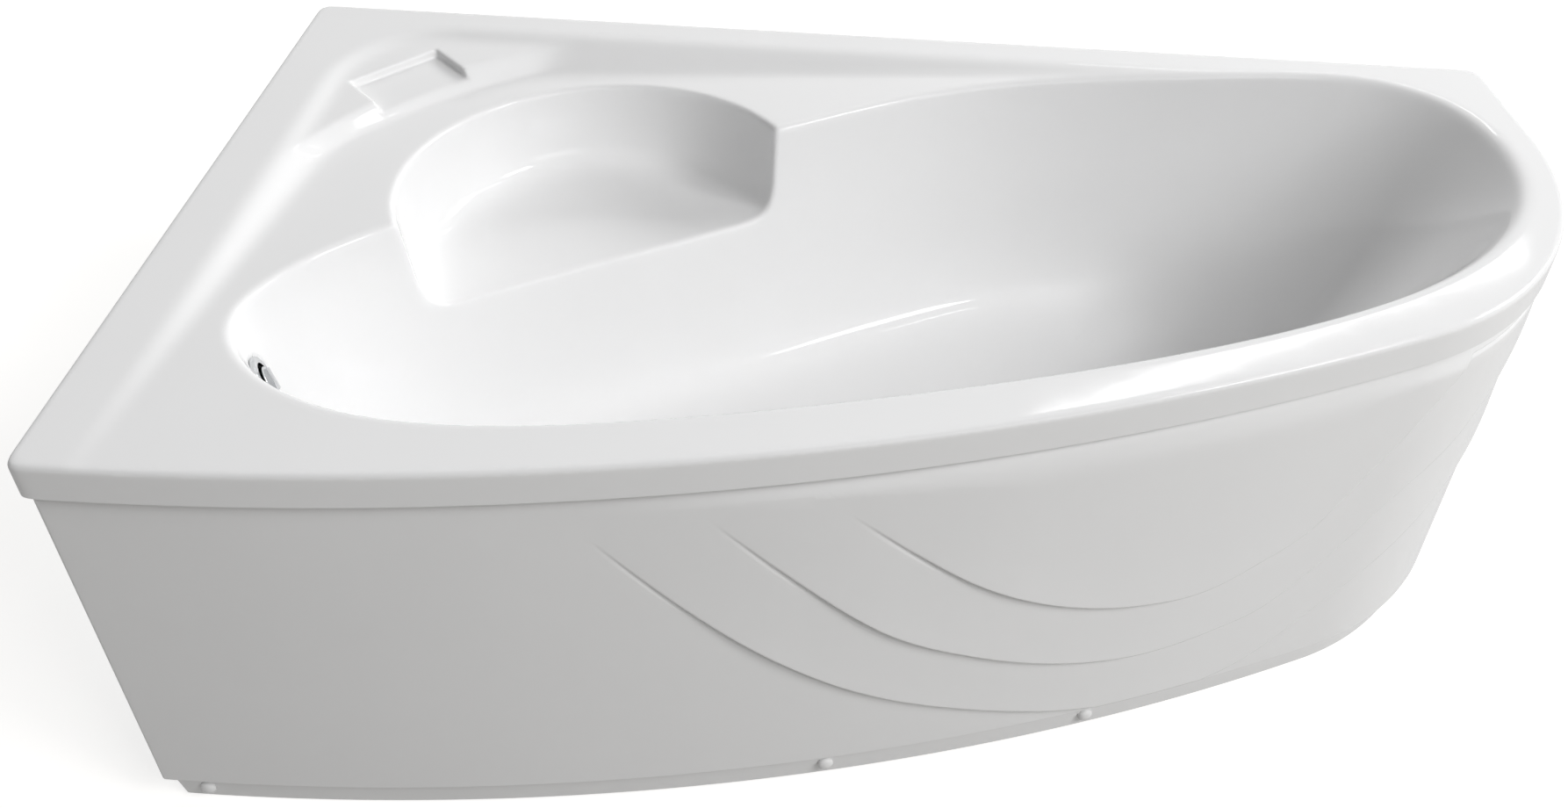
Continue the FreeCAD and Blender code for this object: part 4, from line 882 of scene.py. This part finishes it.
def plain_sight(nodes, links):
    """One where a ray comes straight from the camera, a mirror or glass."""
    path = nodes.new("ShaderNodeLightPath").outputs
    mirror = larger(nodes, links, path["Is Glossy Ray"], path["Is Transmission Ray"])
    return larger(nodes, links, path["Is Camera Ray"], mirror)


def paper():
    """Pale matt floor that glows where it is in plain sight, and is all glow in a mirror."""
    material, nodes, links, shader = tree_of("paper")
    value = noise(nodes, links, FLOOR_GRAIN)
    tone = tones(nodes, links, value, FLOOR_DARK, FLOOR_LIGHT)
    links.new(tone, shader.inputs["Base Color"])
    shader.inputs["Roughness"].default_value = FLOOR_ROUGHNESS
    shader.inputs["Specular IOR Level"].default_value = 0.0
    matt = shader.outputs["BSDF"]
    place = nodes.new("ShaderNodeTexCoord")
    away = nodes.new("ShaderNodeVectorMath")
    away.operation = "LENGTH"
    links.new(place.outputs["Object"], away.inputs[0])
    level = spread(
        nodes, links, away.outputs["Value"], GLOW_NEAR, GLOW_FAR, GLOW_START, GLOW_STOP)
    emission = nodes.new("ShaderNodeEmission")
    links.new(level, emission.inputs["Strength"])
    glow = emission.outputs["Emission"]
    both = nodes.new("ShaderNodeAddShader")
    links.new(matt, both.inputs[0])
    links.new(glow, both.inputs[1])
    seen = mixed(nodes, links, plain_sight(nodes, links), matt, both.outputs["Shader"])
    in_mirror = nodes.new("ShaderNodeLightPath").outputs["Is Glossy Ray"]
    surface = mixed(nodes, links, in_mirror, seen, glow)
    links.new(surface, nodes["Material Output"].inputs["Surface"])
    return material


def stage_floor():
    """Floor that is seen as white paper with the tub's soft shadow."""
    bpy.ops.mesh.primitive_plane_add(size=FLOOR_SIZE, location=(0, 0, FLOOR_LEVEL))
    floor = bpy.context.object
    floor.name = "floor"
    floor.data.materials.append(paper())


def sky(level):
    """Even studio light from all round, seen as white."""
    world = bpy.data.worlds.new("studio")
    bpy.context.scene.world = world
    world.use_nodes = True
    nodes, links = world.node_tree.nodes, world.node_tree.links
    dim = nodes["Background"]
    dim.inputs["Color"].default_value = WHITE
    dim.inputs["Strength"].default_value = level
    white = nodes.new("ShaderNodeBackground")
    white.inputs["Color"].default_value = WHITE
    surface = mixed(nodes, links, plain_sight(nodes, links),
                    dim.outputs["Background"], white.outputs["Background"])
    links.new(surface, nodes["World Output"].inputs["Surface"])


def soft_box(name, place, aim, wide, tall, power, along=None, mirrored=True):
    """Rectangular studio lamp that faces a point, with or without its image in the gloss."""
    data = bpy.data.lights.new(name, "AREA")
    data.shape = "RECTANGLE"
    data.size = wide
    data.size_y = tall
    data.energy = power
    back = (Vector(place) - Vector(aim)).normalized()
    across = Vector(along) if along else Vector((0.0, 0.0, 1.0)).cross(back)
    across = (across - back * across.dot(back)).normalized()
    turned = Matrix((across, back.cross(across), back)).transposed().to_4x4()
    lamp = put_in_scene(name, data)
    lamp.visible_glossy = mirrored
    lamp.matrix_world = Matrix.Translation(place) @ turned


def camera():
    """Camera at the place and angle that the photograph was taken from."""
    level = math.cos(CAMERA_PITCH)
    ahead = Vector((math.sin(CAMERA_YAW) * level, math.cos(CAMERA_YAW) * level,
                    -math.sin(CAMERA_PITCH)))
    right = Vector((math.cos(CAMERA_YAW), -math.sin(CAMERA_YAW), 0.0))
    up = right.cross(ahead)
    across = right * math.cos(CAMERA_ROLL) + up * math.sin(CAMERA_ROLL)
    upright = up * math.cos(CAMERA_ROLL) - right * math.sin(CAMERA_ROLL)
    data = bpy.data.cameras.new("camera")
    data.sensor_width = SENSOR_WIDTH
    data.lens = LENS
    made = put_in_scene("camera", data)
    turned = Matrix((across, upright, -ahead)).transposed().to_4x4()
    made.matrix_world = Matrix.Translation(CAMERA_PLACE) @ turned
    bpy.context.scene.camera = made


stage_floor()
sky(SKY_LEVEL)
soft_box("key", (7.2, -4.5, 7.8), TUB_MIDDLE, wide=5.4, tall=3.6, power=570.0, mirrored=False)
soft_box("spark", (7.8, -2.8, 7.9), TUB_MIDDLE, wide=3.2, tall=2.0, power=250.0)
soft_box("side", (8.1, 4.5, 6.5), TUB_MIDDLE, wide=4.7, tall=3.6, power=280.0)
soft_box("behind", (0.8, 7.0, 4.0), TUB_MIDDLE, wide=4.0, tall=2.5, power=290.0, mirrored=False)
soft_box("front", (5.0, -7.0, 4.0), TUB_MIDDLE, wide=4.5, tall=3.0, power=55.0)
# Two narrow lamps give the bright streaks along the floor's hollow and the right rim.
soft_box("strip over", (1.75, 0.62, 3.0), (0.3, 0.3, 0.25), wide=0.9, tall=0.15, power=3.0,
         along=(0.9, 0.3, 0.0))
soft_box("window", (1.9, 4.6, 4.4), (0.4, -0.15, 0.6), wide=2.5, tall=0.12, power=6.0,
         along=(2.17, 0.0, -1.37))
camera()
bpy.context.scene.view_settings.view_transform = "Standard"
